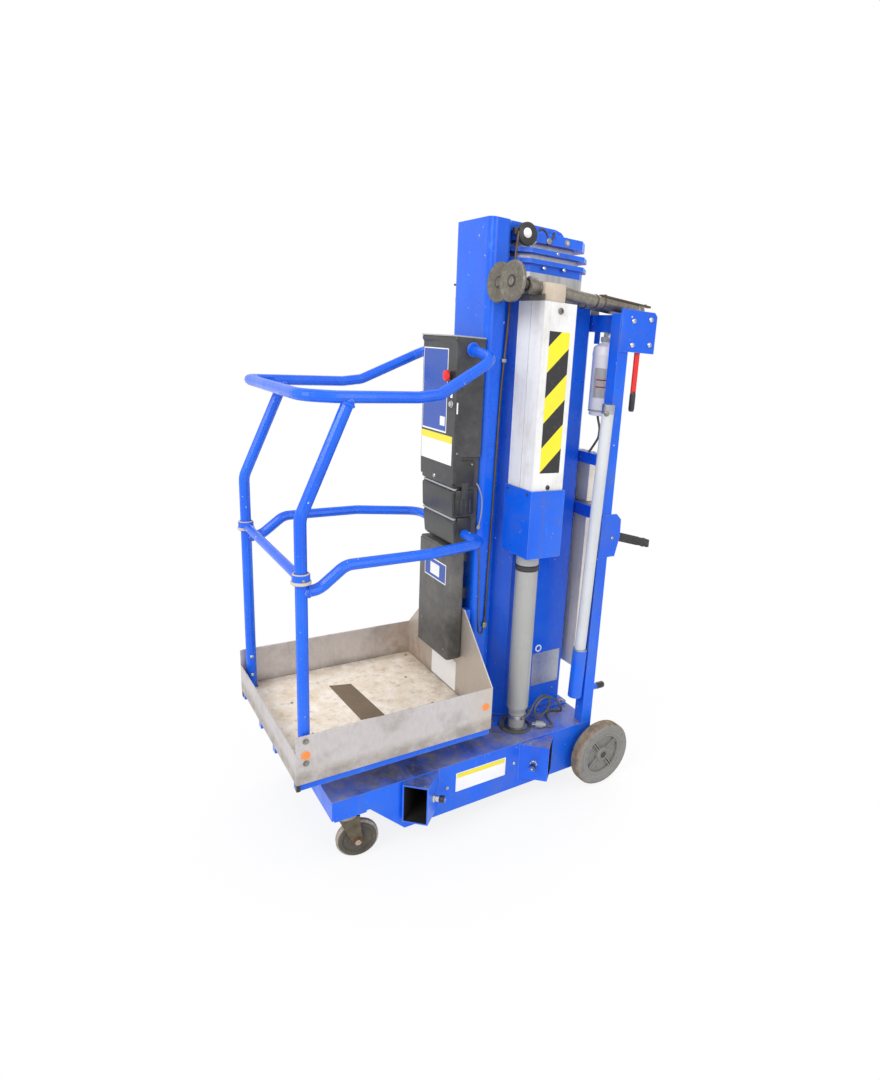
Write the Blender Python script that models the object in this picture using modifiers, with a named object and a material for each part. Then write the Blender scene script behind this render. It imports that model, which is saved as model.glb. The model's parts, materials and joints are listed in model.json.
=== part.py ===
"""Push-around vertical mast lift, stowed, built as separate pieces on real joint axes.

Frame: metres, +Z up, origin on the floor under the middle of the machine. The platform is at
the front, towards -Y. +X is the machine's left side, where the photograph looks from.
"""

import math

import bmesh
import bpy
from mathutils import Matrix, Vector

# Gaps
GAP = 0.0003              # pieces that touch
RUN = 0.006               # pieces that pass each other
PIN_RUN = 0.0005          # a wheel on its axle

# Overall
LENGTH = 1.310
HEIGHT = 1.980
FRONT_Y = -LENGTH / 2
REAR_Y = LENGTH / 2

# Base weldment
BASE_HALF_W = 0.307
BASE_FRONT = -0.550
BASE_REAR = 0.444
DECK_Z = 0.242
NOSE_Z = 0.178            # underside over the castors
BELLY_Z = 0.064           # underside of the deep part
SLOPE_Y0 = -0.432
SLOPE_Y1 = -0.315
BASE_PLATE = 0.005

# Outrigger beams and the sockets that take them
BEAM_W = 0.073
BEAM_D = 0.123
BEAM_WALL = 0.004
BEAM_LENGTH = 0.812
SOCKET_WALL = 0.005
SOCKET_PLAY = 0.001
SOCKET_TOP = DECK_Z - BASE_PLATE - GAP
SOCKET_LENGTH = 0.300
SOCKET_HALF = BEAM_W / 2 + SOCKET_PLAY + SOCKET_WALL
SOCKET_FOOT = SOCKET_TOP - BEAM_D - 2 * SOCKET_PLAY - 2 * SOCKET_WALL
SOCKET_MOUTHS = ((BASE_HALF_W + 0.043, -0.301, -1), (BASE_HALF_W + 0.045, 0.226, 1))    # x, y, direction along Y

# Wheels
WHEEL_R = 0.125
WHEEL_W = 0.050
WHEEL_OUTER_X = BASE_HALF_W + 0.072
AXLE_Y = 0.463
AXLE_R = 0.0125
HUB_R = 0.092

# Castors
CASTOR_R = 0.065
CASTOR_W = 0.032
CASTOR_X = BASE_HALF_W - 0.045
CASTOR_Y = -0.492
CASTOR_TRAIL = 0.034
CASTOR_TURN = {"left": -13.0, "right": -20.0}     # degrees from straight ahead
CASTOR_PLATE = 0.006
CASTOR_AXLE_R = 0.006

# Mast
MAST_HALF_W = 0.130
MAST_FRONT = 0.100
MAST_BACK = 0.425
MAST_CHAMFER = 0.055
MAST_WALL = 0.006
SECTION_STEP = 0.016      # wall and running gap
MAST_FLANGE = 0.010
MAST_TOP = HEIGHT - 0.190
SECTIONS = (              # name, inset steps, tube top, collar bottom, collar top
    ("mast_section_1", 1, HEIGHT - 0.108, HEIGHT - 0.144, HEIGHT - 0.106),
    ("mast_section_2", 2, HEIGHT - 0.075, HEIGHT - 0.088, HEIGHT - 0.074),
    ("mast_section_3", 3, HEIGHT - 0.050, HEIGHT - 0.050, HEIGHT - 0.024),
)
COLLAR_OUT = 0.004        # collars stand this far inside the outer tube's faces
STROKE = 1.450

# Carriage column, carried by the head of the last section
COLUMN_HALF_W = 0.115
COLUMN_FRONT = 0.011
COLUMN_BACK = 0.090
COLUMN_WALL = 0.006
COLUMN_FOOT = 0.335
COLUMN_TOP = HEIGHT - 0.005
COLUMN_ROUND = 0.022
COLUMN_RECESS = 0.060

# Platform
PLATFORM_HALF_W = 0.326
FLOOR_Z = 0.370
FLOOR_THICK = 0.009
SIDE_TOP = 0.500
SIDE_FOOT = 0.350
FRONT_TOP = 0.443
BOARD = 0.003
REAR_BOARD_Y = -0.020
REAR_BOARD_TOP = 0.703
REAR_BOARD_TOP_HALF = 0.117
FRAME_TUBE = 0.025

# Guard rails
RAIL_R = 0.0165
CAGE_HALF_W = 0.300
POST_Y = -0.625
POST_BEND_Z = 1.120
TOP_RAIL_Z = 1.432
TOP_RAIL_Y = -0.610
RAIL_END_Y = -0.036
TOP_RAIL_END_Z = 1.577
TOP_RAIL_CORNER = (0.250, 1.555)
POST_TOP_Y = -0.493
MID_RAIL_Z = 0.918        # at the post, where it starts
MID_RAIL_BACK_Z = 0.983
ENTRY_COLLAR_R = 0.0235
ENTRY_COLLAR_H = 0.028
ENTRY_LIFT = 0.130

# Console and the box below it
CONSOLE_HALF_W = 0.104
CONSOLE_FRONT = -0.115
CONSOLE_TOP = 1.616
CONSOLE_FOOT = 0.930
CONSOLE_INSET = 0.010     # the lower part is narrower by this on each side
LOWER_BOX_X = -0.021
LOWER_BOX_HALF_W = 0.099
LOWER_BOX_FRONT = -0.088
LOWER_BOX_TOP = 0.922
LOWER_BOX_FOOT = 0.520

# Rear frame
FRAME_POST = 0.045
FRAME_POST_TOP = HEIGHT - 0.249
CROSSBARS = (             # bottom and top, the lower two at fixed parts of the height
    (FRAME_POST_TOP - 0.059, FRAME_POST_TOP - 0.003),
    (HEIGHT * 0.6131, HEIGHT * 0.6131 + 0.040),
    (HEIGHT * 0.5152, HEIGHT * 0.5152 + 0.044),
)
CROSSBAR_D = 0.030
CORNER_PLATE = (0.400, 0.556, FRAME_POST_TOP - 0.119, FRAME_POST_TOP + 0.015)       # y, y, z, z
CORNER_PLATE_T = 0.006
GRIP_R = 0.0155
GRIP_Z = (0.968, 0.925)
GRIP_FRONT = 0.486
GRIP_PLATE = ((0.401, 0.899), (0.474, 0.899), (0.492, 0.973), (0.489, 1.035), (0.467, 1.056), (0.401, 1.056))

# Stowage of the outriggers
STOW_X = (0.1745, 0.2475)
STOW_Y0 = 0.111
STOW_FOOT = 0.920
STOW_TOP = 1.150
STOW_WALL = 0.0065
STOW_COLUMN_X = 0.204
STOW_COLUMN_Y = 0.1685
STOW_COLUMN_R = 0.0395
JACK_R = 0.019
JACK_DROOP = math.radians(3.6)
JACK_REACH = 0.510        # from the foot disc to the far end of the tube
FOOT_R = 0.060
FOOT_THICK = 0.008
FOOT_TURN = math.radians(5.4)         # the discs sit a little turned on their screws
SADDLE_TOP = 1.789
JACKS = {                 # faces of the inner and outer foot discs, height there, way they face
    "left": ((0.010, 0.029), 1.781, -1),
    "right": ((0.648, 0.629), 1.742, 1),
}
SCREW_R = 0.011

STRUT_R = 0.0205
STRUT_FOOT = (BASE_HALF_W - 0.026, 0.3745, 0.365)
STRUT_TOP = (BASE_HALF_W + 0.0095, 0.3745, 1.438)
STRUT_SLEEVE_R = 0.0265
STRUT_SLEEVE = 0.180      # length of the sleeve at its foot

RESERVOIR_ROOM = BASE_HALF_W - FRAME_POST - MAST_HALF_W      # between the mast and a post
RESERVOIR_X = MAST_HALF_W + RESERVOIR_ROOM / 2 - 0.006
RESERVOIR_Y = 0.426
RESERVOIR_R = RESERVOIR_ROOM * 0.379
RESERVOIR_Z = (FRAME_POST_TOP - 0.341, FRAME_POST_TOP - 0.106)
COVER_X = (-0.130, 0.152)
COVER_Z = (HEIGHT * 0.202, CROSSBARS[2][1] - 0.004)
COVER_D = 0.070

MATERIALS = {             # colour, roughness, metallic
    "blue_paint": ((0.030, 0.110, 0.620), 0.35, 0.0),
    "aluminium": ((0.620, 0.610, 0.590), 0.45, 1.0),
    "bare_steel": ((0.560, 0.540, 0.500), 0.30, 1.0),
    "worn_steel": ((0.200, 0.160, 0.110), 0.55, 0.8),
    "dark_steel": ((0.050, 0.050, 0.055), 0.50, 0.7),
    "black_plastic": ((0.020, 0.020, 0.022), 0.45, 0.0),
    "dark_rubber": ((0.030, 0.030, 0.032), 0.80, 0.0),
    "grey_rubber": ((0.160, 0.150, 0.140), 0.80, 0.0),
    "grey_plastic": ((0.230, 0.230, 0.240), 0.60, 0.0),
    "plywood": ((0.420, 0.350, 0.260), 0.80, 0.0),
    "white_paint": ((0.750, 0.750, 0.720), 0.40, 0.0),
    "beige_paint": ((0.480, 0.460, 0.400), 0.50, 0.0),
    "grey_paint": ((0.420, 0.420, 0.410), 0.45, 0.0),
}


def clear_scene():
    for obj in list(bpy.data.objects):
        bpy.data.objects.remove(obj)


def new_collection(name):
    collection = bpy.data.collections.new(name)
    bpy.context.scene.collection.children.link(collection)
    return collection


def make_materials():
    made = {}
    for name, (colour, roughness, metallic) in MATERIALS.items():
        material = bpy.data.materials.new(name)
        material.use_nodes = True
        shader = material.node_tree.nodes["Principled BSDF"]
        shader.inputs["Base Color"].default_value = (*colour, 1.0)
        shader.inputs["Roughness"].default_value = roughness
        shader.inputs["Metallic"].default_value = metallic
        made[name] = material
    return made


clear_scene()
PARTS = new_collection("vertical_mast_lift")
CUTTERS = new_collection("cutters")
PAINTS = make_materials()


# Making shapes

def link(name, mesh):
    """A new shape starts among the cutters; node() moves it to the parts."""
    obj = bpy.data.objects.new(name, mesh)
    CUTTERS.objects.link(obj)
    obj.hide_render = True
    obj.display_type = "WIRE"
    return obj


def node(name, shape, paint, origin=None):
    """Turn a shape into a named part, with its origin on its joint's axis."""
    shape.name = name
    shape.data.name = name
    CUTTERS.objects.unlink(shape)
    PARTS.objects.link(shape)
    shape.hide_render = False
    shape.display_type = "TEXTURED"
    shape.data.materials.clear()
    shape.data.materials.append(PAINTS[paint])
    shape.data.shade_smooth()
    shape.data.set_sharp_from_angle(angle=math.radians(32))
    if origin is not None:
        shape.data.transform(Matrix.Translation(-Vector(origin)))
        shape.location = origin
    return shape


def mesh_from(bm, name):
    bmesh.ops.recalc_face_normals(bm, faces=bm.faces)
    mesh = bpy.data.meshes.new(name)
    bm.to_mesh(mesh)
    bm.free()
    return link(name, mesh)


def box(x, y, z, name="box", turn=None):
    """A box between (low, high) pairs; turn is an optional matrix applied afterwards."""
    bm = bmesh.new()
    bmesh.ops.create_cube(bm, size=1.0)
    size = Vector((x[1] - x[0], y[1] - y[0], z[1] - z[0]))
    middle = Vector((x[0] + x[1], y[0] + y[1], z[0] + z[1])) / 2
    bmesh.ops.transform(bm, matrix=Matrix.Translation(middle) @ Matrix.Diagonal(size).to_4x4(), verts=bm.verts)
    if turn is not None:
        bmesh.ops.transform(bm, matrix=turn, verts=bm.verts)
    return mesh_from(bm, name)


def cylinder(start, end, radius, sides=24, name="cylinder", end_radius=None):
    start, end = Vector(start), Vector(end)
    along = end - start
    bm = bmesh.new()
    bmesh.ops.create_cone(bm, cap_ends=True, segments=sides, radius1=radius,
                          radius2=radius if end_radius is None else end_radius, depth=along.length)
    turn = along.to_track_quat("Z", "Y").to_matrix().to_4x4()
    bmesh.ops.transform(bm, matrix=Matrix.Translation((start + end) / 2) @ turn, verts=bm.verts)
    return mesh_from(bm, name)


def evaluated_mesh(obj, name):
    """The object's mesh as its modifiers or curve settings leave it, welded."""
    depsgraph = bpy.context.evaluated_depsgraph_get()
    mesh = bpy.data.meshes.new_from_object(obj.evaluated_get(depsgraph))
    bm = bmesh.new()
    bm.from_mesh(mesh)
    bmesh.ops.remove_doubles(bm, verts=bm.verts, dist=0.00001)
    bmesh.ops.transform(bm, matrix=obj.matrix_world, verts=bm.verts)
    bpy.data.objects.remove(obj)
    return mesh_from(bm, name)


PLANES = {                # where an outline's own x, y and thickness point
    "X": Matrix(((0, 0, 1), (1, 0, 0), (0, 1, 0))),
    "Y": Matrix(((1, 0, 0), (0, 0, -1), (0, 1, 0))),
    "Z": Matrix(((1, 0, 0), (0, 1, 0), (0, 0, 1))),
}


def plate(outline, axis, low, high, name="plate"):
    """A flat outline given thickness from low to high along an axis.

    The outline's points are (y, z) for axis X, (x, z) for axis Y and (x, y) for axis Z.
    """
    curve = bpy.data.curves.new(name, "CURVE")
    curve.dimensions = "2D"
    curve.fill_mode = "BOTH"
    curve.extrude = (high - low) / 2
    spline = curve.splines.new("POLY")
    spline.points.add(len(outline) - 1)
    for point, (u, v) in zip(spline.points, outline):
        point.co = (u, v, 0.0, 1.0)
    spline.use_cyclic_u = True
    obj = bpy.data.objects.new(name, curve)
    bpy.context.scene.collection.objects.link(obj)
    middle = (low + high) / 2
    offset = {"X": (middle, 0, 0), "Y": (0, middle, 0), "Z": (0, 0, middle)}[axis]
    obj.matrix_world = Matrix.Translation(offset) @ PLANES[axis].to_4x4()
    bpy.context.view_layer.update()
    return evaluated_mesh(obj, name)


def tube(points, radius, sides_step=4, name="tube"):
    """A round bar along points, with filled ends."""
    curve = bpy.data.curves.new(name, "CURVE")
    curve.dimensions = "3D"
    curve.bevel_depth = radius
    curve.bevel_resolution = sides_step
    curve.use_fill_caps = True
    spline = curve.splines.new("POLY")
    spline.points.add(len(points) - 1)
    for point, place in zip(spline.points, points):
        point.co = (*place, 1.0)
    obj = bpy.data.objects.new(name, curve)
    bpy.context.scene.collection.objects.link(obj)
    bpy.context.view_layer.update()
    return evaluated_mesh(obj, name)


def bent(points, radius, steps=5):
    """The points of a path whose inner corners are rounded to a bend radius."""
    path = [Vector(points[0])]
    for before, corner, after in zip(points, points[1:], points[2:]):
        before, corner, after = Vector(before), Vector(corner), Vector(after)
        back = (before - corner).normalized()
        on = (after - corner).normalized()
        half = back.angle(on) / 2
        reach = min(radius / math.tan(half), (before - corner).length * 0.49, (after - corner).length * 0.49)
        true_radius = reach * math.tan(half)
        centre = corner + (back + on).normalized() * (true_radius / math.sin(half))
        first, last = corner + back * reach - centre, corner + on * reach - centre
        sweep = first.angle(last)
        for i in range(steps + 1):
            part = i / steps
            place = (first * math.sin((1 - part) * sweep) + last * math.sin(part * sweep)) / math.sin(sweep)
            path.append(centre + place)
    path.append(Vector(points[-1]))
    return path


def turned(profile, start, axis, steps=36, name="turned"):
    """A turned piece: (radius, height) pairs along an axis from a start point."""
    mesh = bpy.data.meshes.new(name)
    verts = [(r, 0.0, h) for r, h in profile]
    edges = [(i, i + 1) for i in range(len(verts) - 1)]
    if profile[0][0] > 0 and profile[-1][0] > 0:
        edges.append((len(verts) - 1, 0))
    mesh.from_pydata(verts, edges, [])
    obj = bpy.data.objects.new(name, mesh)
    bpy.context.scene.collection.objects.link(obj)
    screw = obj.modifiers.new("turn", "SCREW")
    screw.axis = "Z"
    screw.steps = steps
    screw.render_steps = steps
    screw.use_merge_vertices = True
    screw.merge_threshold = 0.00001
    turn = Vector(axis).to_track_quat("Z", "Y").to_matrix().to_4x4()
    obj.matrix_world = Matrix.Translation(start) @ turn
    bpy.context.view_layer.update()
    return evaluated_mesh(obj, name)


def combine(shape, tool, operation):
    modifier = shape.modifiers.new(operation.lower(), "BOOLEAN")
    modifier.operation = operation
    modifier.object = tool
    modifier.solver = "EXACT"
    return shape


def join(shape, *tools):
    for tool in tools:
        combine(shape, tool, "UNION")
    return shape


def cut(shape, *tools):
    for tool in tools:
        combine(shape, tool, "DIFFERENCE")
    return shape


def chamfered(half_x, y0, y1, chamfer):
    """An upright rectangle's outline with its four corners cut at 45 degrees, in x and y."""
    return [(half_x, y0 + chamfer), (half_x, y1 - chamfer), (half_x - chamfer, y1), (chamfer - half_x, y1),
            (-half_x, y1 - chamfer), (-half_x, y0 + chamfer), (chamfer - half_x, y0), (half_x - chamfer, y0)]


def rounded(half_x, y0, y1, radius, steps=5):
    """A rectangle's outline with round corners, in x and y."""
    points = []
    for cx, cy, start in ((half_x - radius, y1 - radius, 0), (radius - half_x, y1 - radius, 90),
                          (radius - half_x, y0 + radius, 180), (half_x - radius, y0 + radius, 270)):
        for i in range(steps + 1):
            angle = math.radians(start + 90 * i / steps)
            points.append((cx + radius * math.cos(angle), cy + radius * math.sin(angle)))
    return points


SIDES = (("left", 1), ("right", -1))


# Base weldment

def socket_box(side, mouth, half_width, z, near, far):
    """A box along a socket's axis, from near to far inward of its mouth."""
    mouth_x, mouth_y, along_y = mouth
    turn = Matrix.Translation((side * mouth_x, mouth_y, 0)) @ Matrix.Rotation(
        math.atan2(-along_y, -side), 4, "Z")
    return box((near, far), (-half_width, half_width), z, "socket", turn)


def make_chassis():
    slope = Vector((SLOPE_Y1 - SLOPE_Y0, BELLY_Z - NOSE_Z))
    run = slope.x / -slope.y
    shift = BASE_PLATE * slope.length / -slope.y
    outer = [(BASE_FRONT, NOSE_Z), (SLOPE_Y0, NOSE_Z), (SLOPE_Y1, BELLY_Z), (BASE_REAR, BELLY_Z),
             (BASE_REAR, DECK_Z), (BASE_FRONT, DECK_Z)]
    below = BELLY_Z - BASE_PLATE
    inner = [(BASE_FRONT + BASE_PLATE, NOSE_Z + BASE_PLATE),
             (SLOPE_Y0 + shift - run * BASE_PLATE, NOSE_Z + BASE_PLATE),
             (SLOPE_Y1 + shift + run * BASE_PLATE, below),
             (BASE_REAR - BASE_PLATE, below), (BASE_REAR - BASE_PLATE, DECK_Z - BASE_PLATE),
             (BASE_FRONT + BASE_PLATE, DECK_Z - BASE_PLATE)]
    inside = BASE_HALF_W - BASE_PLATE
    chassis = plate(outer, "X", -BASE_HALF_W, BASE_HALF_W, "chassis")
    cut(chassis, plate(inner, "X", -inside, inside, "inside"))

    cut(chassis, *[socket_box(side, mouth, SOCKET_HALF + GAP, (SOCKET_FOOT - GAP, SOCKET_TOP + GAP),
                              0.0, SOCKET_LENGTH) for _, side in SIDES for mouth in SOCKET_MOUTHS])

    # Axle lugs behind the rear wall, and castor pads under the nose
    for _, side in SIDES:
        x = sorted((side * (BASE_HALF_W - 0.012), side * (BASE_HALF_W - 0.024)))
        lug = plate([(BASE_REAR - 0.003, WHEEL_R - 0.055), (AXLE_Y + 0.006, WHEEL_R - 0.030),
                     (AXLE_Y + 0.030, WHEEL_R - 0.016), (AXLE_Y + 0.030, WHEEL_R + 0.016),
                     (AXLE_Y + 0.006, WHEEL_R + 0.030), (BASE_REAR - 0.003, WHEEL_R + 0.055)], "X", x[0], x[1])
        join(chassis, lug)
        pad = box((side * CASTOR_X - 0.045, side * CASTOR_X + 0.045), (CASTOR_Y - 0.050, CASTOR_Y + 0.050),
                  (NOSE_Z - CASTOR_PLATE, NOSE_Z + 0.002))
        join(chassis, pad)
    cut(chassis, cylinder((-0.35, AXLE_Y, WHEEL_R), (0.35, AXLE_Y, WHEEL_R), AXLE_R + GAP, 24))

    node("chassis", chassis, "blue_paint")


def make_sockets():
    """Square tubes set diagonally under the deck, blind at their inner ends, each with a spring plunger."""
    for name, side in SIDES:
        for place, (mouth_x, mouth_y, along_y) in zip(("front", "rear"), SOCKET_MOUTHS):
            mouth = (mouth_x, mouth_y, along_y)
            socket = socket_box(side, mouth, SOCKET_HALF, (SOCKET_FOOT, SOCKET_TOP), 0.0, SOCKET_LENGTH)
            axis = Vector((side, along_y, 0)).normalized()
            across = Vector((side, -along_y, 0)).normalized()
            seat = Vector((side * mouth_x, mouth_y, 0)) - axis * 0.052 + across * SOCKET_HALF
            seat.z = (SOCKET_FOOT + SOCKET_TOP) / 2
            join(socket, cylinder(seat - across * 0.004, seat + across * 0.024, 0.0085, 16),
                 cylinder(seat + across * 0.020, seat + across * 0.040, 0.0105, 16))
            cut(socket, socket_box(side, mouth, SOCKET_HALF - SOCKET_WALL,
                                   (SOCKET_FOOT + SOCKET_WALL, SOCKET_TOP - SOCKET_WALL),
                                   -0.02, SOCKET_LENGTH - SOCKET_WALL))
            node("socket_" + place + "_" + name, socket, "blue_paint")


# Wheels

def make_wheels():
    axle_half = WHEEL_OUTER_X - 0.004
    axle = cylinder((-axle_half, AXLE_Y, WHEEL_R), (axle_half, AXLE_Y, WHEEL_R), AXLE_R, 24)
    for _, side in SIDES:
        inner = side * (WHEEL_OUTER_X - WHEEL_W - 0.004)
        join(axle, cylinder((inner - side * 0.008, AXLE_Y, WHEEL_R), (inner, AXLE_Y, WHEEL_R), 0.020, 24))
    node("rear_axle", axle, "bare_steel")

    bore = AXLE_R + PIN_RUN
    for name, side in SIDES:
        profile = [(bore, WHEEL_W - 0.001), (0.024, WHEEL_W - 0.001), (0.027, WHEEL_W - 0.004),
                   (0.030, WHEEL_W - 0.016), (0.076, WHEEL_W - 0.016), (0.081, WHEEL_W - 0.005),
                   (0.110, WHEEL_W), (0.120, WHEEL_W - 0.003), (WHEEL_R, WHEEL_W - 0.010),
                   (WHEEL_R, 0.010), (0.120, 0.003), (0.110, 0.0), (0.081, 0.005),
                   (0.076, 0.016), (0.030, 0.016), (0.027, 0.0), (bore, 0.0)]
        inner = side * (WHEEL_OUTER_X - WHEEL_W)
        centre = (inner, AXLE_Y, WHEEL_R)
        wheel = turned(profile, centre, (side, 0, 0), 40)
        node("rear_wheel_" + name, wheel, "grey_rubber", centre)


# Castors

def make_castors():
    for name, side in SIDES:
        pivot = Vector((side * CASTOR_X, CASTOR_Y, 0))
        turn = Matrix.Translation(pivot) @ Matrix.Rotation(math.radians(CASTOR_TURN[name]), 4, "Z")
        top = NOSE_Z - CASTOR_PLATE - 0.0006
        leg_in, leg_out = CASTOR_W / 2 + 0.005, CASTOR_W / 2 + 0.009
        axle_y = CASTOR_TRAIL
        fork = turned([(0.0, 0.0), (0.026, 0.0), (0.036, -0.004), (0.036, -0.014), (0.024, -0.020), (0.0, -0.020)],
                      turn @ Vector((0, 0, top)), (0, 0, 1), 28)
        crown_z = top - 0.014
        join(fork, box((-leg_out, leg_out), (-0.026, 0.040), (crown_z - 0.007, crown_z), "crown", turn))
        leg = [(-0.024, crown_z - 0.002), (0.038, crown_z - 0.002), (axle_y + 0.014, CASTOR_R),
               (axle_y + 0.008, CASTOR_R - 0.013), (axle_y - 0.008, CASTOR_R - 0.013), (axle_y - 0.016, CASTOR_R)]
        for sign in (1, -1):
            x = sorted((sign * leg_in, sign * leg_out))
            shape = plate(leg, "X", x[0], x[1], "leg")
            shape.data.transform(turn)
            join(fork, shape)
        pin = cylinder((-leg_out - 0.004, axle_y, CASTOR_R), (leg_out + 0.004, axle_y, CASTOR_R), CASTOR_AXLE_R, 16)
        pin.data.transform(turn)
        join(fork, pin)
        node("castor_fork_" + name, fork, "worn_steel", (pivot.x, pivot.y, top))

        centre = turn @ Vector((0, axle_y, CASTOR_R))
        across = turn.to_3x3() @ Vector((1, 0, 0))
        half = CASTOR_W / 2
        bore = CASTOR_AXLE_R + PIN_RUN
        profile = [(bore, 2 * half), (0.018, 2 * half), (0.022, 2 * half - 0.006), (0.044, 2 * half - 0.006),
                   (0.047, 2 * half - 0.002), (0.056, 2 * half - 0.002), (CASTOR_R, 2 * half - 0.010),
                   (CASTOR_R, 0.010), (0.056, 0.002), (0.047, 0.002), (0.044, 0.006), (0.022, 0.006),
                   (0.018, 0.0), (bore, 0.0)]
        wheel = turned(profile, centre - across * half, across, 32)
        node("castor_wheel_" + name, wheel, "dark_rubber", centre)


# Mast

def section_outline(inset):
    """The mast's eight-sided outline, moved inward."""
    return chamfered(MAST_HALF_W - inset, MAST_FRONT + inset, MAST_BACK - inset,
                     MAST_CHAMFER - inset * (2 - math.sqrt(2)))


def make_mast():
    foot = DECK_Z + GAP
    shelf = foot + MAST_FLANGE
    flange = rounded(MAST_HALF_W + 0.030, MAST_FRONT - 0.022, BASE_REAR - 0.002, 0.015, 3)
    node("mast_foot", plate(flange, "Z", foot, shelf), "blue_paint")

    outer = plate(section_outline(0), "Z", shelf + GAP, MAST_TOP)
    join(outer, plate(section_outline(-0.003), "Z", MAST_TOP - 0.030, MAST_TOP))
    cut(outer, plate(section_outline(MAST_WALL), "Z", shelf - 0.02, MAST_TOP + 0.02))
    node("mast_outer", outer, "blue_paint")

    for name, steps, top, collar_z0, collar_z1 in SECTIONS:
        inset = steps * SECTION_STEP
        section = plate(section_outline(inset), "Z", shelf + GAP, top)
        head = steps == len(SECTIONS)
        if head:
            join(section, plate(section_outline(COLLAR_OUT + 0.010), "Z", collar_z0 - 0.004, collar_z1))
            cut(section, plate(section_outline(inset + MAST_WALL), "Z", shelf - 0.02, collar_z0 + 0.004))
            bridge = [(COLUMN_BACK + GAP, collar_z1 - 0.004), (MAST_BACK - 0.10, collar_z1 - 0.004),
                      (MAST_BACK - 0.125, HEIGHT - 0.006), (MAST_BACK - 0.15, HEIGHT), (COLUMN_BACK + GAP, HEIGHT)]
            join(section, plate(bridge, "X", -0.080, 0.080), make_pulley_shape())
        else:
            join(section, plate(section_outline(COLLAR_OUT), "Z", collar_z1 - 0.014, collar_z1),
                 plate(section_outline(COLLAR_OUT + 0.012), "Z", collar_z0, collar_z1 - 0.008))
            cut(section, plate(section_outline(inset + MAST_WALL), "Z", shelf - 0.02, top + 0.02))
        node(name, section, "bare_steel", (0, (MAST_FRONT + MAST_BACK) / 2, shelf + GAP))


# Carriage

def make_column():
    outline = rounded(COLUMN_HALF_W, COLUMN_FRONT, COLUMN_BACK, COLUMN_ROUND)
    column = plate(outline, "Z", COLUMN_FOOT, COLUMN_TOP)
    wall = COLUMN_WALL
    hollow = rounded(COLUMN_HALF_W - wall, COLUMN_FRONT + wall, COLUMN_BACK - wall, COLUMN_ROUND - wall)
    cut(column, plate(hollow, "Z", COLUMN_FOOT - 0.02, COLUMN_FOOT + COLUMN_RECESS))
    node("carriage_column", column, "blue_paint")


def make_platform():
    inner = PLATFORM_HALF_W - BOARD
    front_in = FRONT_Y + BOARD
    floor_under = FLOOR_Z - FLOOR_THICK
    # Sheet tray: four boards and a turned-in rim under the floor
    tray = box((-PLATFORM_HALF_W, PLATFORM_HALF_W), (FRONT_Y, REAR_BOARD_Y), (SIDE_FOOT, SIDE_TOP))
    cut(tray, box((-inner, inner), (front_in, REAR_BOARD_Y - BOARD), (SIDE_FOOT + BOARD, SIDE_TOP + 0.02)))
    cut(tray, box((-inner, inner), (FRONT_Y - 0.02, front_in + 0.02), (FRONT_TOP, SIDE_TOP + 0.02)))
    rim = 0.050
    cut(tray, box((-inner + rim, inner - rim), (front_in + rim, REAR_BOARD_Y - rim), (SIDE_FOOT - 0.02, SIDE_FOOT + 0.02)))
    back = [(-PLATFORM_HALF_W, SIDE_TOP - 0.010), (PLATFORM_HALF_W, SIDE_TOP - 0.010), (PLATFORM_HALF_W, SIDE_TOP),
            (REAR_BOARD_TOP_HALF, REAR_BOARD_TOP), (-REAR_BOARD_TOP_HALF, REAR_BOARD_TOP), (-PLATFORM_HALF_W, SIDE_TOP)]
    join(tray, plate(back, "Y", REAR_BOARD_Y - BOARD, REAR_BOARD_Y))
    node("platform_tray", tray, "aluminium")

    play = 0.002
    floor = box((-inner + play, inner - play), (front_in + play, REAR_BOARD_Y - BOARD - play), (SIDE_FOOT + BOARD + GAP, FLOOR_Z))
    # Corner notches for the cage posts, which stand on the tray's rim
    notch = RAIL_R + 2 * GAP
    for x in (-CAGE_HALF_W, CAGE_HALF_W):
        edges = sorted((x - math.copysign(notch, x), x + math.copysign(0.05, x)))
        cut(floor, box(edges, (POST_Y - 0.05, POST_Y + notch), (SIDE_FOOT, FLOOR_Z + 0.02)))
    node("platform_floor", floor, "plywood")

    # Frame tubes under the tray, and the two hangers that hook it to the column
    tube_top = SIDE_FOOT - GAP
    tube_z = (tube_top - FRAME_TUBE, tube_top)
    rear = COLUMN_FRONT - GAP
    out = PLATFORM_HALF_W - 0.010
    frame = box((-out, out), (FRONT_Y + 0.012, FRONT_Y + 0.012 + FRAME_TUBE), tube_z)
    join(frame, box((-out, out), (REAR_BOARD_Y - FRAME_TUBE, REAR_BOARD_Y), tube_z))
    for x, end in ((-out, REAR_BOARD_Y - 0.001), (-0.095, rear - 0.001), (0.070, rear - 0.001),
                   (out - FRAME_TUBE, REAR_BOARD_Y - 0.001)):
        join(frame, box((x, x + FRAME_TUBE), (FRONT_Y + 0.002, end), (tube_z[0] + 0.0002, tube_z[1] - 0.0002)))
    for side in (1, -1):
        x = sorted((side * 0.070, side * 0.100))
        join(frame, box(x, (REAR_BOARD_Y + GAP, rear), (tube_z[0] + 0.002, REAR_BOARD_TOP - 0.01)))
    node("platform_frame", frame, "blue_paint")


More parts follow.
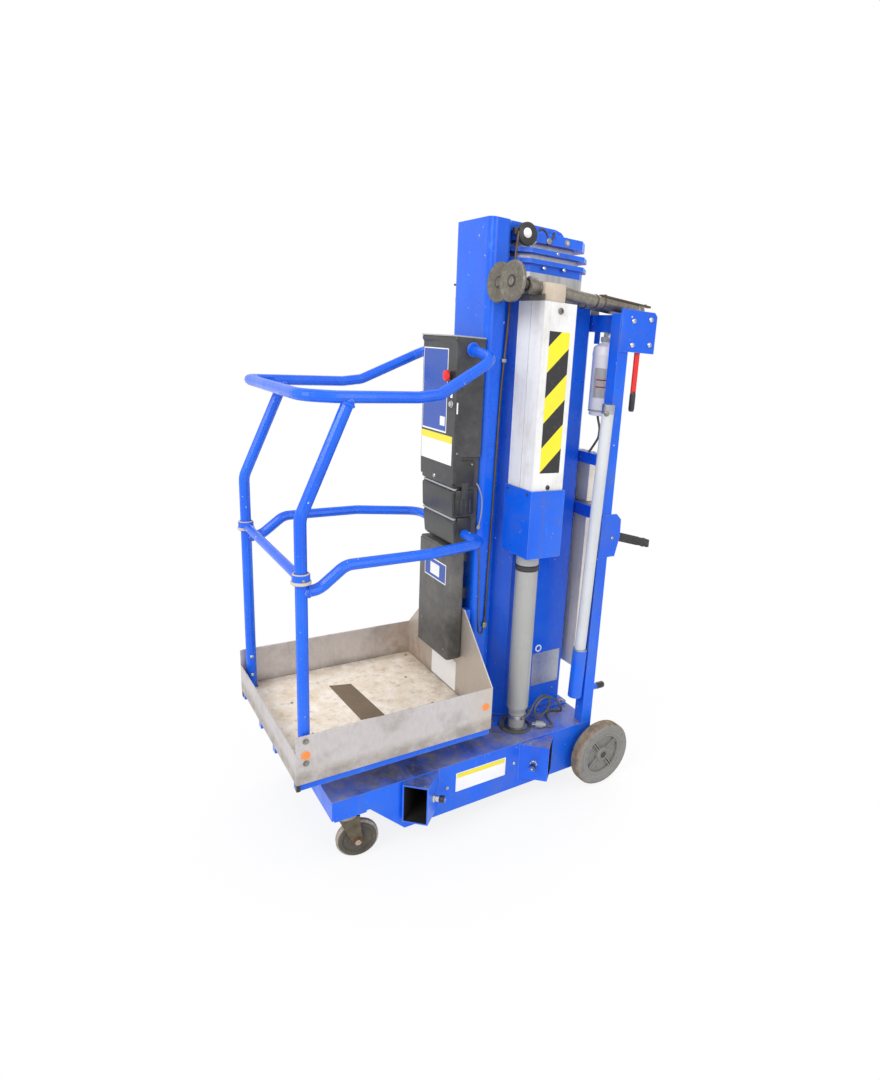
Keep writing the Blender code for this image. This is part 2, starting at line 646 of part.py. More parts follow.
def top_rail_points(side):
    """From the console's side out, forward and down to the side of the cage."""
    return [(side * (CONSOLE_HALF_W + GAP), RAIL_END_Y, TOP_RAIL_END_Z),
            (side * (CONSOLE_HALF_W + 0.016), RAIL_END_Y, TOP_RAIL_END_Z),
            (side * TOP_RAIL_CORNER[0], RAIL_END_Y, TOP_RAIL_CORNER[1]),
            (side * CAGE_HALF_W, -0.235, TOP_RAIL_Z + 0.016),
            (side * CAGE_HALF_W, -0.300, TOP_RAIL_Z + 0.006),
            (side * CAGE_HALF_W, TOP_RAIL_Y + 0.080, TOP_RAIL_Z),
            (side * (CAGE_HALF_W - 0.030), TOP_RAIL_Y, TOP_RAIL_Z)]


def mid_rail_points(side):
    return [(side * (CONSOLE_HALF_W - CONSOLE_INSET + GAP), RAIL_END_Y, MID_RAIL_BACK_Z - 0.006),
            (side * 0.238, RAIL_END_Y, MID_RAIL_BACK_Z - 0.004),
            (side * CAGE_HALF_W, -0.250, MID_RAIL_BACK_Z),
            (side * CAGE_HALF_W, POST_Y + 0.120, MID_RAIL_BACK_Z - 0.004),
            (side * CAGE_HALF_W, POST_Y + 0.045, MID_RAIL_Z),
            (side * CAGE_HALF_W, POST_Y, MID_RAIL_Z)]


def make_cage():
    left, right = top_rail_points(1), top_rail_points(-1)
    top = tube(bent(left + right[::-1], 0.055), RAIL_R)
    node("top_rail", top, "blue_paint")

    for name, side in SIDES:
        x = side * CAGE_HALF_W
        # The post leans back above its bend and ends on the top rail's underside
        post = tube(bent([(x, POST_Y, SIDE_FOOT + BOARD + GAP), (x, POST_Y, POST_BEND_Z), (x, POST_TOP_Y, TOP_RAIL_Z)], 0.080), RAIL_R)
        clearing = tube(bent(top_rail_points(side), 0.055), RAIL_R + GAP, 6)
        cut(post, clearing, box((x - 0.03, x + 0.03), (POST_TOP_Y - 0.05, POST_TOP_Y + 0.06),
                                (TOP_RAIL_Z - 0.001, TOP_RAIL_Z + 0.05)))
        node("cage_post_" + name, post, "blue_paint")
        middle = tube(bent(mid_rail_points(side), 0.055), RAIL_R)
        cut(middle, cylinder((x, POST_Y, MID_RAIL_Z - 0.05), (x, POST_Y, MID_RAIL_Z + 0.05), RAIL_R + GAP, 32),
            box((x - 0.03, x + 0.03), (POST_Y - 0.03, POST_Y), (MID_RAIL_Z - 0.03, MID_RAIL_Z + 0.03)))
        node("mid_rail_" + name, middle, "blue_paint")

    # Entry bar between the posts, on collars that slide up them
    foot = MID_RAIL_Z + RAIL_R + 0.0055
    bar_z = foot + ENTRY_COLLAR_H / 2
    reach = CAGE_HALF_W - ENTRY_COLLAR_R + 0.003
    bar = cylinder((-reach, POST_Y, bar_z), (reach, POST_Y, bar_z), RAIL_R - 0.003, 20)
    for side in (1, -1):
        join(bar, cylinder((side * CAGE_HALF_W, POST_Y, foot), (side * CAGE_HALF_W, POST_Y, foot + ENTRY_COLLAR_H), ENTRY_COLLAR_R, 24))
    for side in (1, -1):
        cut(bar, cylinder((side * CAGE_HALF_W, POST_Y, foot - 0.02), (side * CAGE_HALF_W, POST_Y, foot + 0.06), RAIL_R + 0.001, 24))
    node("entry_bar", bar, "blue_paint", (0, POST_Y, bar_z))


def make_console():
    back = COLUMN_FRONT - GAP
    front = CONSOLE_FRONT
    # Side outline, from the foot up the front: three moulded steps, then the flat panel
    outline = [(back, CONSOLE_FOOT), (front + 0.030, CONSOLE_FOOT), (front + 0.018, CONSOLE_FOOT + 0.012),
               (front + 0.012, 1.020), (front + 0.022, 1.026), (front + 0.022, 1.034), (front + 0.008, 1.040),
               (front + 0.004, 1.120), (front + 0.016, 1.126), (front + 0.016, 1.134), (front + 0.002, 1.140),
               (front, 1.200), (front, CONSOLE_TOP - 0.022), (front - 0.006, CONSOLE_TOP - 0.020),
               (front - 0.006, CONSOLE_TOP - 0.004), (front + 0.004, CONSOLE_TOP), (back, CONSOLE_TOP)]
    console = plate(outline, "X", -CONSOLE_HALF_W, CONSOLE_HALF_W)
    for side in (1, -1):
        x = sorted((side * (CONSOLE_HALF_W - CONSOLE_INSET), side * (CONSOLE_HALF_W + 0.02)))
        cut(console, box(x, (front - 0.05, back - 0.030), (CONSOLE_FOOT - 0.02, 1.190)))
    node("control_console", console, "black_plastic")

    rear = REAR_BOARD_Y - BOARD - GAP
    outline = [(LOWER_BOX_X + u, v) for u, v in rounded(LOWER_BOX_HALF_W, LOWER_BOX_FRONT, rear, 0.012, 3)]
    lower = plate(outline, "Z", LOWER_BOX_FOOT, LOWER_BOX_TOP)
    for side in (1, -1):
        x = sorted((side * 0.030, side * 0.062))
        join(lower, box(x, (rear - 0.01, back), (REAR_BOARD_TOP + 0.020, REAR_BOARD_TOP + 0.060)),
             box(x, (rear - 0.01, back), (LOWER_BOX_TOP - 0.060, LOWER_BOX_TOP - 0.020)))
    node("lower_box", lower, "black_plastic")


# Rear frame

def make_rear_frame():
    """Posts, corner plates, crossbars, grip brackets and the strut's sleeve, welded together."""
    y = (BASE_REAR - FRAME_POST, BASE_REAR)
    bar_y = (MAST_BACK + 0.003 + GAP, MAST_BACK + 0.003 + CROSSBAR_D)
    reach = BASE_HALF_W - FRAME_POST + 0.003
    frame = box((-reach, reach), bar_y, CROSSBARS[0])
    for _, side in SIDES:
        x = sorted((side * (BASE_HALF_W - FRAME_POST), side * BASE_HALF_W))
        join(frame, box(x, y, (DECK_Z + GAP, FRAME_POST_TOP)))
        wall = sorted((side * (BASE_HALF_W - 0.002), side * (BASE_HALF_W + CORNER_PLATE_T)))
        y0, y1, z0, z1 = CORNER_PLATE
        join(frame, plate([(y0, z0), (y1, z0), (y1, z1 - 0.012), (y1 - 0.012, z1), (y0, z1)], "X", wall[0], wall[1]))
        join(frame, plate(GRIP_PLATE, "X", *sorted((side * (BASE_HALF_W - 0.002), side * (BASE_HALF_W + 0.004)))))
        middle = side * (BASE_HALF_W - FRAME_POST / 2)
        join(frame, plate([(y[1] - 0.003, 0.905), (GRIP_FRONT - 0.012, 0.940), (GRIP_FRONT - GAP, 0.948),
                           (GRIP_FRONT - GAP, 0.984), (y[1] - 0.003, 1.010)], "X", middle - 0.014, middle + 0.014))
        join(frame, cylinder((middle, y[1] - 0.003, 0.370), (middle, y[1] + 0.062, 0.370), 0.0115, 20))
    for z in CROSSBARS[1:]:
        join(frame, box((-reach, reach), bar_y, z))
    hanger_x = (RESERVOIR_X - 0.052, RESERVOIR_X - 0.028)
    join(frame, box(hanger_x, (bar_y[0] + 0.004, bar_y[0] + 0.010), (RESERVOIR_Z[1] + 0.007, CROSSBARS[0][0] + 0.003)))

    # The strut leans out a little; its sleeve stands in front of the left post
    foot, top = Vector(STRUT_FOOT), Vector(STRUT_TOP)
    along = (top - foot).normalized()
    join(frame, cylinder(foot - along * 0.012, foot + along * STRUT_SLEEVE, STRUT_SLEEVE_R, 24))
    cut(frame, cylinder(foot, top, STRUT_R + GAP, 24))
    node("rear_frame", frame, "blue_paint")
    node("strut", cylinder(foot + along * GAP, top, STRUT_R, 24), "white_paint")

    for name, side in SIDES:
        middle = side * (BASE_HALF_W - FRAME_POST / 2)
        grip = cylinder((middle, GRIP_FRONT, GRIP_Z[0]), (middle, REAR_Y - 0.004, GRIP_Z[1]), GRIP_R, 20)
        join(grip, box((middle - 0.015, middle + 0.015), (REAR_Y - 0.012, REAR_Y), (GRIP_Z[1] - 0.013, GRIP_Z[1] + 0.015)))
        cut(grip, box((middle - 0.03, middle + 0.03), (GRIP_FRONT - 0.03, GRIP_FRONT), (0.90, 1.02)))
        node("handle_grip_" + name, grip, "dark_rubber")

    # Oil reservoir between mast and post, hung by its neck from the top crossbar
    z0, z1 = RESERVOIR_Z
    under = CROSSBARS[0][0] - GAP
    tank = turned([(0.0, under), (0.012, under), (0.012, z1 + 0.030), (RESERVOIR_R - 0.026, z1 + 0.008),
                   (RESERVOIR_R - 0.010, z1), (RESERVOIR_R, z1 - 0.010), (RESERVOIR_R, z0 + 0.022),
                   (RESERVOIR_R - 0.003, z0 + 0.018), (RESERVOIR_R - 0.003, z0), (0.0, z0)],
                  (RESERVOIR_X, RESERVOIR_Y, 0), (0, 0, 1), 32)
    node("oil_reservoir", tank, "white_paint")

    # Power unit and the cover under it, on the crossbars behind the mast
    back = MAST_BACK + 0.003 + CROSSBAR_D + GAP
    unit = box((COVER_X[0] + 0.010, COVER_X[1] - 0.006), (back, back + 0.085), (COVER_Z[1] + 0.008, CROSSBARS[1][1] - 0.012))
    node("power_unit", unit, "beige_paint")
    edge = 0.012
    outline = [(COVER_X[0], back), (COVER_X[1], back), (COVER_X[1], back + COVER_D - edge), (COVER_X[1] - edge, back + COVER_D),
               (COVER_X[0] + edge, back + COVER_D), (COVER_X[0], back + COVER_D - edge)]
    node("rear_cover", plate(outline, "Z", *COVER_Z), "beige_paint")


# Outriggers, stowed upright beside the mast

def make_outriggers():
    for name, side in SIDES:
        pocket_x = (STOW_X[0] - BEAM_W / 2, STOW_X[1] + BEAM_W / 2)
        y = (STOW_Y0 - STOW_WALL, STOW_Y0 + BEAM_D + STOW_WALL)
        x_in, x_out = MAST_HALF_W + GAP, pocket_x[1] + STOW_WALL
        sleeve = box(sorted((side * x_in, side * x_out)), y, (STOW_FOOT, STOW_TOP))
        for centre in STOW_X:
            half = BEAM_W / 2 - 0.0012
            cut(sleeve, box((side * centre - half - 0.0008, side * centre + half + 0.0008),
                            (STOW_Y0 - 0.001, STOW_Y0 + BEAM_D + 0.001), (STOW_FOOT + 0.006, STOW_TOP + 0.02)))
        node("stow_sleeve_" + name, sleeve, "blue_paint")

        column = turned([(0.0, STOW_FOOT - GAP), (STOW_COLUMN_R, STOW_FOOT - GAP), (STOW_COLUMN_R, 0.875),
                         (STOW_COLUMN_R + 0.003, 0.872), (STOW_COLUMN_R + 0.003, 0.860), (STOW_COLUMN_R, 0.857),
                         (STOW_COLUMN_R, 0.330), (STOW_COLUMN_R - 0.008, 0.310), (STOW_COLUMN_R - 0.0095, DECK_Z + GAP),
                         (0.0, DECK_Z + GAP)],
                        (side * STOW_COLUMN_X, STOW_COLUMN_Y, 0), (0, 0, 1), 32)
        node("stow_column_" + name, column, "grey_paint")

        faces, height, facing = JACKS[name]
        for number, (place, foot_y) in enumerate(zip(STOW_X, faces), 1):
            make_outrigger(f"{name}_{number}", side * place, foot_y, height, facing)


def make_outrigger(name, x, foot_y, height, facing):
    half = BEAM_W / 2 - 0.0012
    foot = STOW_FOOT + 0.006 + GAP
    top = foot + BEAM_LENGTH
    y = (STOW_Y0, STOW_Y0 + BEAM_D)
    beam = box((x - half, x + half), y, (foot, top))
    wall = BEAM_WALL
    cut(beam, box((x - half + wall, x + half - wall), (y[0] + wall, y[1] - wall), (foot - 0.02, top - 0.008)))
    middle = (y[0] + y[1]) / 2
    for z in (STOW_TOP + 0.010, top - 0.025):
        cut(beam, cylinder((x - 0.05, middle, z), (x + 0.05, middle, z), 0.008, 16))
    node("outrigger_beam_" + name, beam, "aluminium", (x, middle, foot))

    # Jack: a tube lying along the machine on a saddle, its foot disc and screw at one end
    pivot = Vector((x, foot_y, height))
    tilt = Matrix.Translation(pivot) @ Matrix.Rotation(-JACK_DROOP, 4, "X") @ Matrix.Translation(-pivot)

    def inward(distance):
        return (x, foot_y - facing * distance, height)

    jack = cylinder(inward(0.066), inward(JACK_REACH), JACK_R, 24)
    disc = turned([(0.0, 0.0), (FOOT_R - 0.002, 0.0), (FOOT_R, -0.002), (FOOT_R, -FOOT_THICK), (0.0, -FOOT_THICK)],
                  inward(0.0), (math.copysign(math.sin(FOOT_TURN), x), facing * math.cos(FOOT_TURN), 0), 36)
    head = cylinder(inward(0.034), inward(0.070), JACK_R + 0.006, 24)
    screw = cylinder(inward(0.004), inward(0.070), SCREW_R, 20)
    crank = box((x - 0.010, x + 0.010), sorted((inward(0.325)[1], inward(JACK_REACH + 0.035)[1])),
                (height + JACK_R - 0.002, height + JACK_R + 0.005))
    join(jack, disc, head, screw, crank)
    for shape in (jack, disc, head, screw, crank):
        shape.data.transform(tilt)
    join(jack, box((x - 0.029, x + 0.029), (y[0] + 0.002, y[0] + 0.080), (top + GAP, SADDLE_TOP)))
    node("outrigger_jack_" + name, jack, "worn_steel", (x, middle, foot))


def make_pulley_shape():
    """The small wheel beside the mast's head, with its pin, as part of the last section."""
    z = HEIGHT - 0.037
    sheave = turned([(0.0, 0.014), (0.031, 0.014), (0.032, 0.011), (0.027, 0.007), (0.032, 0.003), (0.031, 0.0), (0.0, 0.0)],
                    (0.1085, 0.150, z), (1, 0, 0), 28)
    return join(sheave, cylinder((0.078, 0.150, z + 0.020), (0.112, 0.150, z + 0.020), 0.008, 16))


make_chassis()
make_sockets()
make_wheels()
make_castors()
make_mast()
make_column()
make_platform()
make_cage()
make_console()
make_rear_frame()
make_outriggers()
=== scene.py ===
"""The push-around mast lift, dressed for its photograph.

Metres, +Z up, platform towards -Y, the machine's left side towards +X. Every piece is made where
the solid model has it, and rides on one of its bodies.
"""

import json
import math

import bmesh
import bpy
from mathutils import Matrix, Vector


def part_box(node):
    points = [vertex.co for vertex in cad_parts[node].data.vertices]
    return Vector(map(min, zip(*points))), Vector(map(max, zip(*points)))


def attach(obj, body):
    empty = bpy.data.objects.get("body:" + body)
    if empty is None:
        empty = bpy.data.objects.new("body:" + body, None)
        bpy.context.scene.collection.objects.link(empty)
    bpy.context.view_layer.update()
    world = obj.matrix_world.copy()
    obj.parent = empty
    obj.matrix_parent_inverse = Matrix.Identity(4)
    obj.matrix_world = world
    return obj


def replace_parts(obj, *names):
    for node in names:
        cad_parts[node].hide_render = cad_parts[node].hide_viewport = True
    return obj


# Camera, as solved from the photograph's frame of 880 x 1080
IMAGE_W = 880
IMAGE_H = 1080
FOCAL_PX = 679.43
CENTRE_PX = (563.878, 538.919)
CAMERA_PLACE = (2.058, -1.134, 1.573)
CAMERA_AZIMUTH = math.radians(51.879)
CAMERA_DOWN = math.radians(14.803)
CAMERA_ROLL = math.radians(4.815)

# Colours, as linear values
BLUE = (0.004, 0.145, 0.86)
BLUE_DEEP = (0.003, 0.092, 0.68)
BLUE_PALE = (0.08, 0.28, 0.88)
# Paler edge colour for blue paint: partly rubbed paint, partly a painted highlight along the edges
BLUE_EDGE_WEAR_AND_HIGHLIGHT = (0.25, 0.4, 0.88)
DECK_DIRT = (0.3, 0.275, 0.28)
DECK_DARK = (0.062, 0.056, 0.062)
PRIMER = (0.7, 0.72, 0.74)
DIRT = (0.135, 0.115, 0.09)
DUST = (0.34, 0.31, 0.265)
RUST = (0.18, 0.075, 0.03)
RUST_DARK = (0.07, 0.038, 0.022)
STEEL = (0.56, 0.55, 0.53)
STEEL_DARK = (0.12, 0.115, 0.11)

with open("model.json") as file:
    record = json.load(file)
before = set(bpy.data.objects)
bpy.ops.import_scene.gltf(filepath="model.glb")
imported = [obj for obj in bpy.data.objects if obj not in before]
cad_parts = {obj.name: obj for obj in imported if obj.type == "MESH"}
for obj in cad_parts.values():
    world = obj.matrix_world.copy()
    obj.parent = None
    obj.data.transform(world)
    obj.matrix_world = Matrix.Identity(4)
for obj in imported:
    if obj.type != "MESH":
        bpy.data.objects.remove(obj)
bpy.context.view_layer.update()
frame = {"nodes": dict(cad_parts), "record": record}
NODES = frame["nodes"]
SIDES = (("left", 1), ("right", -1))
UP = (0, 0, 1)
LEFTWARD = (1, 0, 0)
FORWARD = (0, -1, 0)
BACKWARD = (0, 1, 0)

# Places on the machine, in metres, and turns in degrees or radians
BASE_X = 0.307
DECK_Z = 0.242
TAPE_Y = (0.136, 0.2145)
TAPE_Z = (1.208, 1.652)
TAPE_STEP = 0.158
CASTOR_TURN = {"left": -13.0, "right": -20.0}
STOW_X = (0.1745, 0.2475)
# For each outrigger socket, the middle of its mouth in x and y, and which way it opens along Y
SOCKETS = (("front", (0.35, -0.301, -1)), ("rear", (0.352, 0.226, 1)))
SOCKET_Z = 0.1692
# For each side, where its two foot discs stand along Y, their height, and which way they face
FOOT_DISCS = {"left": ((0.01, 0.029), 1.781, -1), "right": ((0.648, 0.629), 1.742, 1)}
FOOT_TURN = math.radians(5.4)
JACK_DROOP = math.radians(3.6)
CONSOLE_FRONT = -0.09
CONSOLE_BACK = 0.0107
CONSOLE_HALF = 0.12
REAR_HUB = (0.379, 0.463, 0.125)
CASTOR_X = 0.262
CASTOR_Y = -0.492
COLUMN_FOOT = (0.204, 0.1685)
BEAM_FACE_X = 0.2828
BEAM_TOP_Z = 1.7388
GRIP_X = 0.2845
LEVER_Y = 0.492
RESERVOIR_X = 0.196
RESERVOIR_Y = 0.4415
POST_X = 0.3
POST_Y = -0.625
TRAY_FACE_X = 0.326
TRAY_WALL_X = 0.3243
REAR_BOARD_Y = -0.0216
FLOOR_Z = 0.37
FACES = {
    "left": (BACKWARD, UP),
    "right": (FORWARD, UP),
    "front": (LEFTWARD, UP),
    "back": ((-1, 0, 0), UP),
    "top": (LEFTWARD, BACKWARD),
}


# Camera

def make_camera():
    a, down, roll = CAMERA_AZIMUTH, CAMERA_DOWN, CAMERA_ROLL
    ahead = Vector((-math.sin(a) * math.cos(down), math.cos(a) * math.cos(down), -math.sin(down)))
    right = Vector((math.cos(a), math.sin(a), 0.0))
    up = right.cross(ahead)
    turned_right = right * math.cos(roll) + up * math.sin(roll)
    turned_up = up * math.cos(roll) - right * math.sin(roll)
    matrix = Matrix((turned_right, turned_up, -ahead)).transposed().to_4x4()
    matrix.translation = CAMERA_PLACE
    data = bpy.data.cameras.new("camera")
    data.sensor_fit = "AUTO"
    data.sensor_width = 36.0
    data.lens = FOCAL_PX / IMAGE_H * 36.0
    data.shift_x = (IMAGE_W / 2 - CENTRE_PX[0]) / IMAGE_H
    data.shift_y = (CENTRE_PX[1] - IMAGE_H / 2) / IMAGE_H
    data.clip_start = 0.05
    data.clip_end = 200.0
    camera = bpy.data.objects.new("camera", data)
    camera.matrix_world = matrix
    bpy.context.scene.collection.objects.link(camera)
    bpy.context.scene.camera = camera


# Node graphs

class Graph:
    """Adds nodes to one material and joins them up."""

    def __init__(self, name):
        self.material = bpy.data.materials.new(name)
        self.material.use_nodes = True
        self.tree = self.material.node_tree
        self.tree.nodes.clear()
        self.output = self.tree.nodes.new("ShaderNodeOutputMaterial")
        self.shader = self.tree.nodes.new("ShaderNodeBsdfPrincipled")
        self.tree.links.new(self.shader.outputs[0], self.output.inputs["Surface"])
        self.coordinates = self.tree.nodes.new("ShaderNodeTexCoord").outputs["Object"]
        self.parts = None

    def put(self, socket, value):
        if isinstance(value, bpy.types.NodeSocket):
            self.tree.links.new(value, socket)
        elif isinstance(value, (int, float)):
            if socket.type == "RGBA":
                socket.default_value = (value, value, value, 1.0)
            elif socket.type == "VECTOR":
                socket.default_value = (value, value, value)
            else:
                socket.default_value = value
        else:
            value = tuple(value)
            if socket.type == "RGBA" and len(value) == 3:
                value = (*value, 1.0)
            socket.default_value = value

    def add(self, kind, **settings):
        made = self.tree.nodes.new(kind)
        for key, value in settings.items():
            setattr(made, key, value)
        return made

    def set(self, name, value):
        self.put(self.shader.inputs[name], value)

    def stretched(self, stretch):
        if stretch == (1, 1, 1):
            return self.coordinates
        made = self.add("ShaderNodeMapping")
        self.put(made.inputs["Vector"], self.coordinates)
        made.inputs["Scale"].default_value = stretch
        return made.outputs[0]

    def noise(self, scale, detail=3.0, roughness=0.55, stretch=(1, 1, 1), distortion=0.0):
        made = self.add("ShaderNodeTexNoise")
        self.put(made.inputs["Vector"], self.stretched(stretch))
        made.inputs["Scale"].default_value = scale
        made.inputs["Detail"].default_value = detail
        made.inputs["Roughness"].default_value = roughness
        made.inputs["Distortion"].default_value = distortion
        return made.outputs["Fac"]

    def span(self, value, low, high, to_low=0.0, to_high=1.0, smooth=False):
        made = self.add("ShaderNodeMapRange")
        made.clamp = True
        if smooth:
            made.interpolation_type = "SMOOTHSTEP"
        self.put(made.inputs["Value"], value)
        made.inputs["From Min"].default_value = low
        made.inputs["From Max"].default_value = high
        made.inputs["To Min"].default_value = to_low
        made.inputs["To Max"].default_value = to_high
        return made.outputs["Result"]

    def math(self, operation, a, b=0.0, clamp=False):
        made = self.add("ShaderNodeMath", operation=operation)
        made.use_clamp = clamp
        self.put(made.inputs[0], a)
        self.put(made.inputs[1], b)
        return made.outputs[0]

    def times(self, *values):
        result = values[0]
        for value in values[1:]:
            result = self.math("MULTIPLY", result, value)
        return result

    def most(self, *values):
        result = values[0]
        for value in values[1:]:
            result = self.math("MAXIMUM", result, value)
        return result

    def invert(self, value):
        return self.math("SUBTRACT", 1.0, value, clamp=True)

    def mix(self, fac, a, b):
        made = self.add("ShaderNodeMix", data_type="RGBA")
        self.put(made.inputs[0], fac)
        self.put(made.inputs[6], a)
        self.put(made.inputs[7], b)
        return made.outputs[2]

    def blend(self, fac, a, b):
        made = self.add("ShaderNodeMix", data_type="FLOAT")
        self.put(made.inputs[0], fac)
        self.put(made.inputs[2], a)
        self.put(made.inputs[3], b)
        return made.outputs[0]

    def axis(self, letter):
        if self.parts is None:
            self.parts = self.add("ShaderNodeSeparateXYZ")
            self.put(self.parts.inputs[0], self.coordinates)
        return self.parts.outputs[letter]

    def within(self, letter, low, high):
        """1 between two places along an axis, 0 outside them."""
        value, soft = self.axis(letter), 0.0005
        above = self.span(value, low - soft, low + soft)
        return self.times(above, self.span(value, high - soft, high + soft, 1.0, 0.0))

    def offset(self, centre):
        """The vector from a point to where the surface is."""
        made = self.add("ShaderNodeVectorMath", operation="SUBTRACT")
        self.put(made.inputs[0], self.coordinates)
        made.inputs[1].default_value = centre
        return made.outputs[0]

    def around(self, centre, low, high):
        """0 nearer to a point than low, 1 past high."""
        length = self.add("ShaderNodeVectorMath", operation="LENGTH")
        self.put(length.inputs[0], self.offset(centre))
        return self.span(length.outputs["Value"], low, high)

    def cover(self, mask, colour, roughness, metallic=0.0):
        """Lays another finish over this one where the mask is 1."""
        for name, value, join in (("Base Color", colour, self.mix), ("Roughness", roughness, self.blend),
                                  ("Metallic", metallic, self.blend)):
            socket = self.shader.inputs[name]
            if socket.is_linked:
                before = socket.links[0].from_socket
            else:
                before = socket.default_value[:3] if name == "Base Color" else socket.default_value
            self.put(socket, join(mask, before, value))

    def inside_tube(self, centre, axis, half_width, half_height):
        """1 within a level box-shaped bore about an axis through a point."""
        offset = self.offset(centre)
        up = Vector(UP)
        across = Vector(axis).normalized().cross(up)
        inside = []
        for way, half in ((across, half_width), (up, half_height)):
            dot = self.add("ShaderNodeVectorMath", operation="DOT_PRODUCT")
            self.put(dot.inputs[0], offset)
            dot.inputs[1].default_value = way
            away = self.math("ABSOLUTE", dot.outputs["Value"])
            inside.append(self.span(away, half, half + 0.0006, 1.0, 0.0))
        return self.times(*inside)

    def facing(self, letter, low=0.5, high=0.9):
        made = self.add("ShaderNodeSeparateXYZ")
        self.put(made.inputs[0], self.add("ShaderNodeNewGeometry").outputs["Normal"])
        return self.span(made.outputs[letter], low, high)

    def edges(self, radius):
        """1 along the sharp edges of the shape, within a radius of them."""
        bevel = self.add("ShaderNodeBevel", samples=4)
        bevel.inputs["Radius"].default_value = radius
        dot = self.add("ShaderNodeVectorMath", operation="DOT_PRODUCT")
        self.put(dot.inputs[0], bevel.outputs[0])
        self.put(dot.inputs[1], self.add("ShaderNodeNewGeometry").outputs["Normal"])
        return self.math("MULTIPLY", self.math("SUBTRACT", 1.0, dot.outputs["Value"]), 6.0, clamp=True)

    def bump(self, height, distance, strength):
        made = self.add("ShaderNodeBump")
        made.inputs["Strength"].default_value = strength
        made.inputs["Distance"].default_value = distance
        self.put(made.inputs["Height"], height)
        return made.outputs[0]


def painted(name, colour, deep, dirt, chips, roughness, chip_colour=PRIMER, floor_dirt=0.0,
            streaks=0.2, edge_wear_and_highlight_colour=BLUE_EDGE_WEAR_AND_HIGHLIGHT):
    """Gloss paint over steel: uneven tone, chips, paler edges from rubbing and from a painted highlight,
    scuffs, dust lying on what faces up.
    """
    g = Graph(name)
    tone = g.noise(3.2, 4.0)
    base = g.mix(g.span(tone, 0.3, 0.72), deep, colour)
    scuff = g.span(g.noise(38.0, 5.0, 0.7, (1, 1, 0.35), 0.6), 0.6, 0.74)
    base = g.mix(g.times(scuff, 0.35), base, BLUE_PALE if colour == BLUE else DUST)
    run = g.span(g.noise(24.0, 3.0, 0.6, (1, 1, 0.06)), 0.56, 0.75)
    base = g.mix(g.times(run, streaks), base, DIRT)
    grime = g.span(g.noise(6.5, 6.0, 0.65), 0.5, 0.72)
    base = g.mix(g.times(grime, dirt), base, DIRT)
    up = g.facing("Z", 0.6, 0.95)
    lying = g.times(up, g.span(g.noise(9.0, 7.0, 0.72), 0.36, 0.6, 0.25, 1.0))
    ground = g.mix(g.span(g.noise(5.0, 7.0, 0.7, (1, 1, 1), 0.5), 0.42, 0.6), DECK_DIRT, DECK_DARK)
    ground = g.mix(g.times(g.span(g.noise(32.0, 6.0, 0.75), 0.52, 0.7), 0.6), ground, DUST)
    base = g.mix(g.times(lying, floor_dirt), base, ground)
    spots = g.span(g.noise(62.0, 3.0, 0.6), 0.735 - 0.055 * chips, 0.75 - 0.045 * chips)
    # Paler edges: partly rubbed paint, partly a painted highlight along them
    rub = g.span(g.times(g.edges(0.003), g.noise(26.0, 4.0, 0.7)), 0.3, 0.46)
    base = g.mix(g.times(rub, 0.55), base, edge_wear_and_highlight_colour)
    bare = g.times(spots, min(1.0, 0.5 + chips))
    base = g.mix(bare, base, chip_colour)
    g.set("Base Color", base)
    rough = g.blend(g.span(g.noise(15.0, 4.0), 0.3, 0.7), roughness - 0.07, roughness + 0.1)
    dull = g.most(g.times(grime, dirt), g.times(lying, floor_dirt), g.times(bare, 0.6))
    rough = g.blend(dull, rough, 0.75)
    g.set("Roughness", rough)
    peel = g.noise(260.0, 2.0)
    height = g.math("SUBTRACT", g.times(peel, 0.1), g.times(bare, 0.55))
    g.set("Normal", g.bump(height, 0.0005, 0.7))
    g.set("Specular IOR Level", 0.35)
    g.set("Coat Weight", 0.14)
    g.set("Coat Roughness", 0.2)
    return g


def metal(name, colour, dark, roughness, brushed, rust=0.0, dirt=0.2, scale=45.0, metallic=1.0):
    """Bare metal with a brushed or scuffed grain, stains, and rust where asked."""
    g = Graph(name)
    grain = g.noise(scale, 5.0, 0.7, brushed)
    tone = g.noise(5.0, 5.0, 0.6)
    base = g.mix(g.span(grain, 0.25, 0.75), dark, colour)
    base = g.mix(g.span(tone, 0.35, 0.8, 0.0, 0.45), base, dark)
    stain = g.span(g.noise(9.0, 6.0, 0.7), 0.5, 0.7)
    base = g.mix(g.times(stain, dirt), base, DIRT)
    worn = g.span(g.noise(17.0, 7.0, 0.72), 0.62 - 0.22 * rust, 0.74 - 0.2 * rust) if rust else 0.0
    if rust:
        rusty = g.mix(g.span(g.noise(70.0, 5.0, 0.7), 0.3, 0.7), RUST_DARK, RUST)
        base = g.mix(g.times(worn, min(1.0, 0.5 + rust)), base, rusty)
        g.set("Metallic", g.blend(worn, metallic, 0.15))
    else:
        g.set("Metallic", metallic)
    g.set("Base Color", base)
    rough = g.blend(g.span(grain, 0.2, 0.8), roughness - 0.06, roughness + 0.12)
    rough = g.blend(g.most(g.times(stain, dirt), worn), rough, 0.8)
    g.set("Roughness", rough)
    height = g.times(grain, 0.25)
    if rust:
        height = g.math("ADD", height, g.times(worn, g.noise(120.0, 5.0, 0.7)))
    g.set("Normal", g.bump(height, 0.0005, 0.6))
    return g


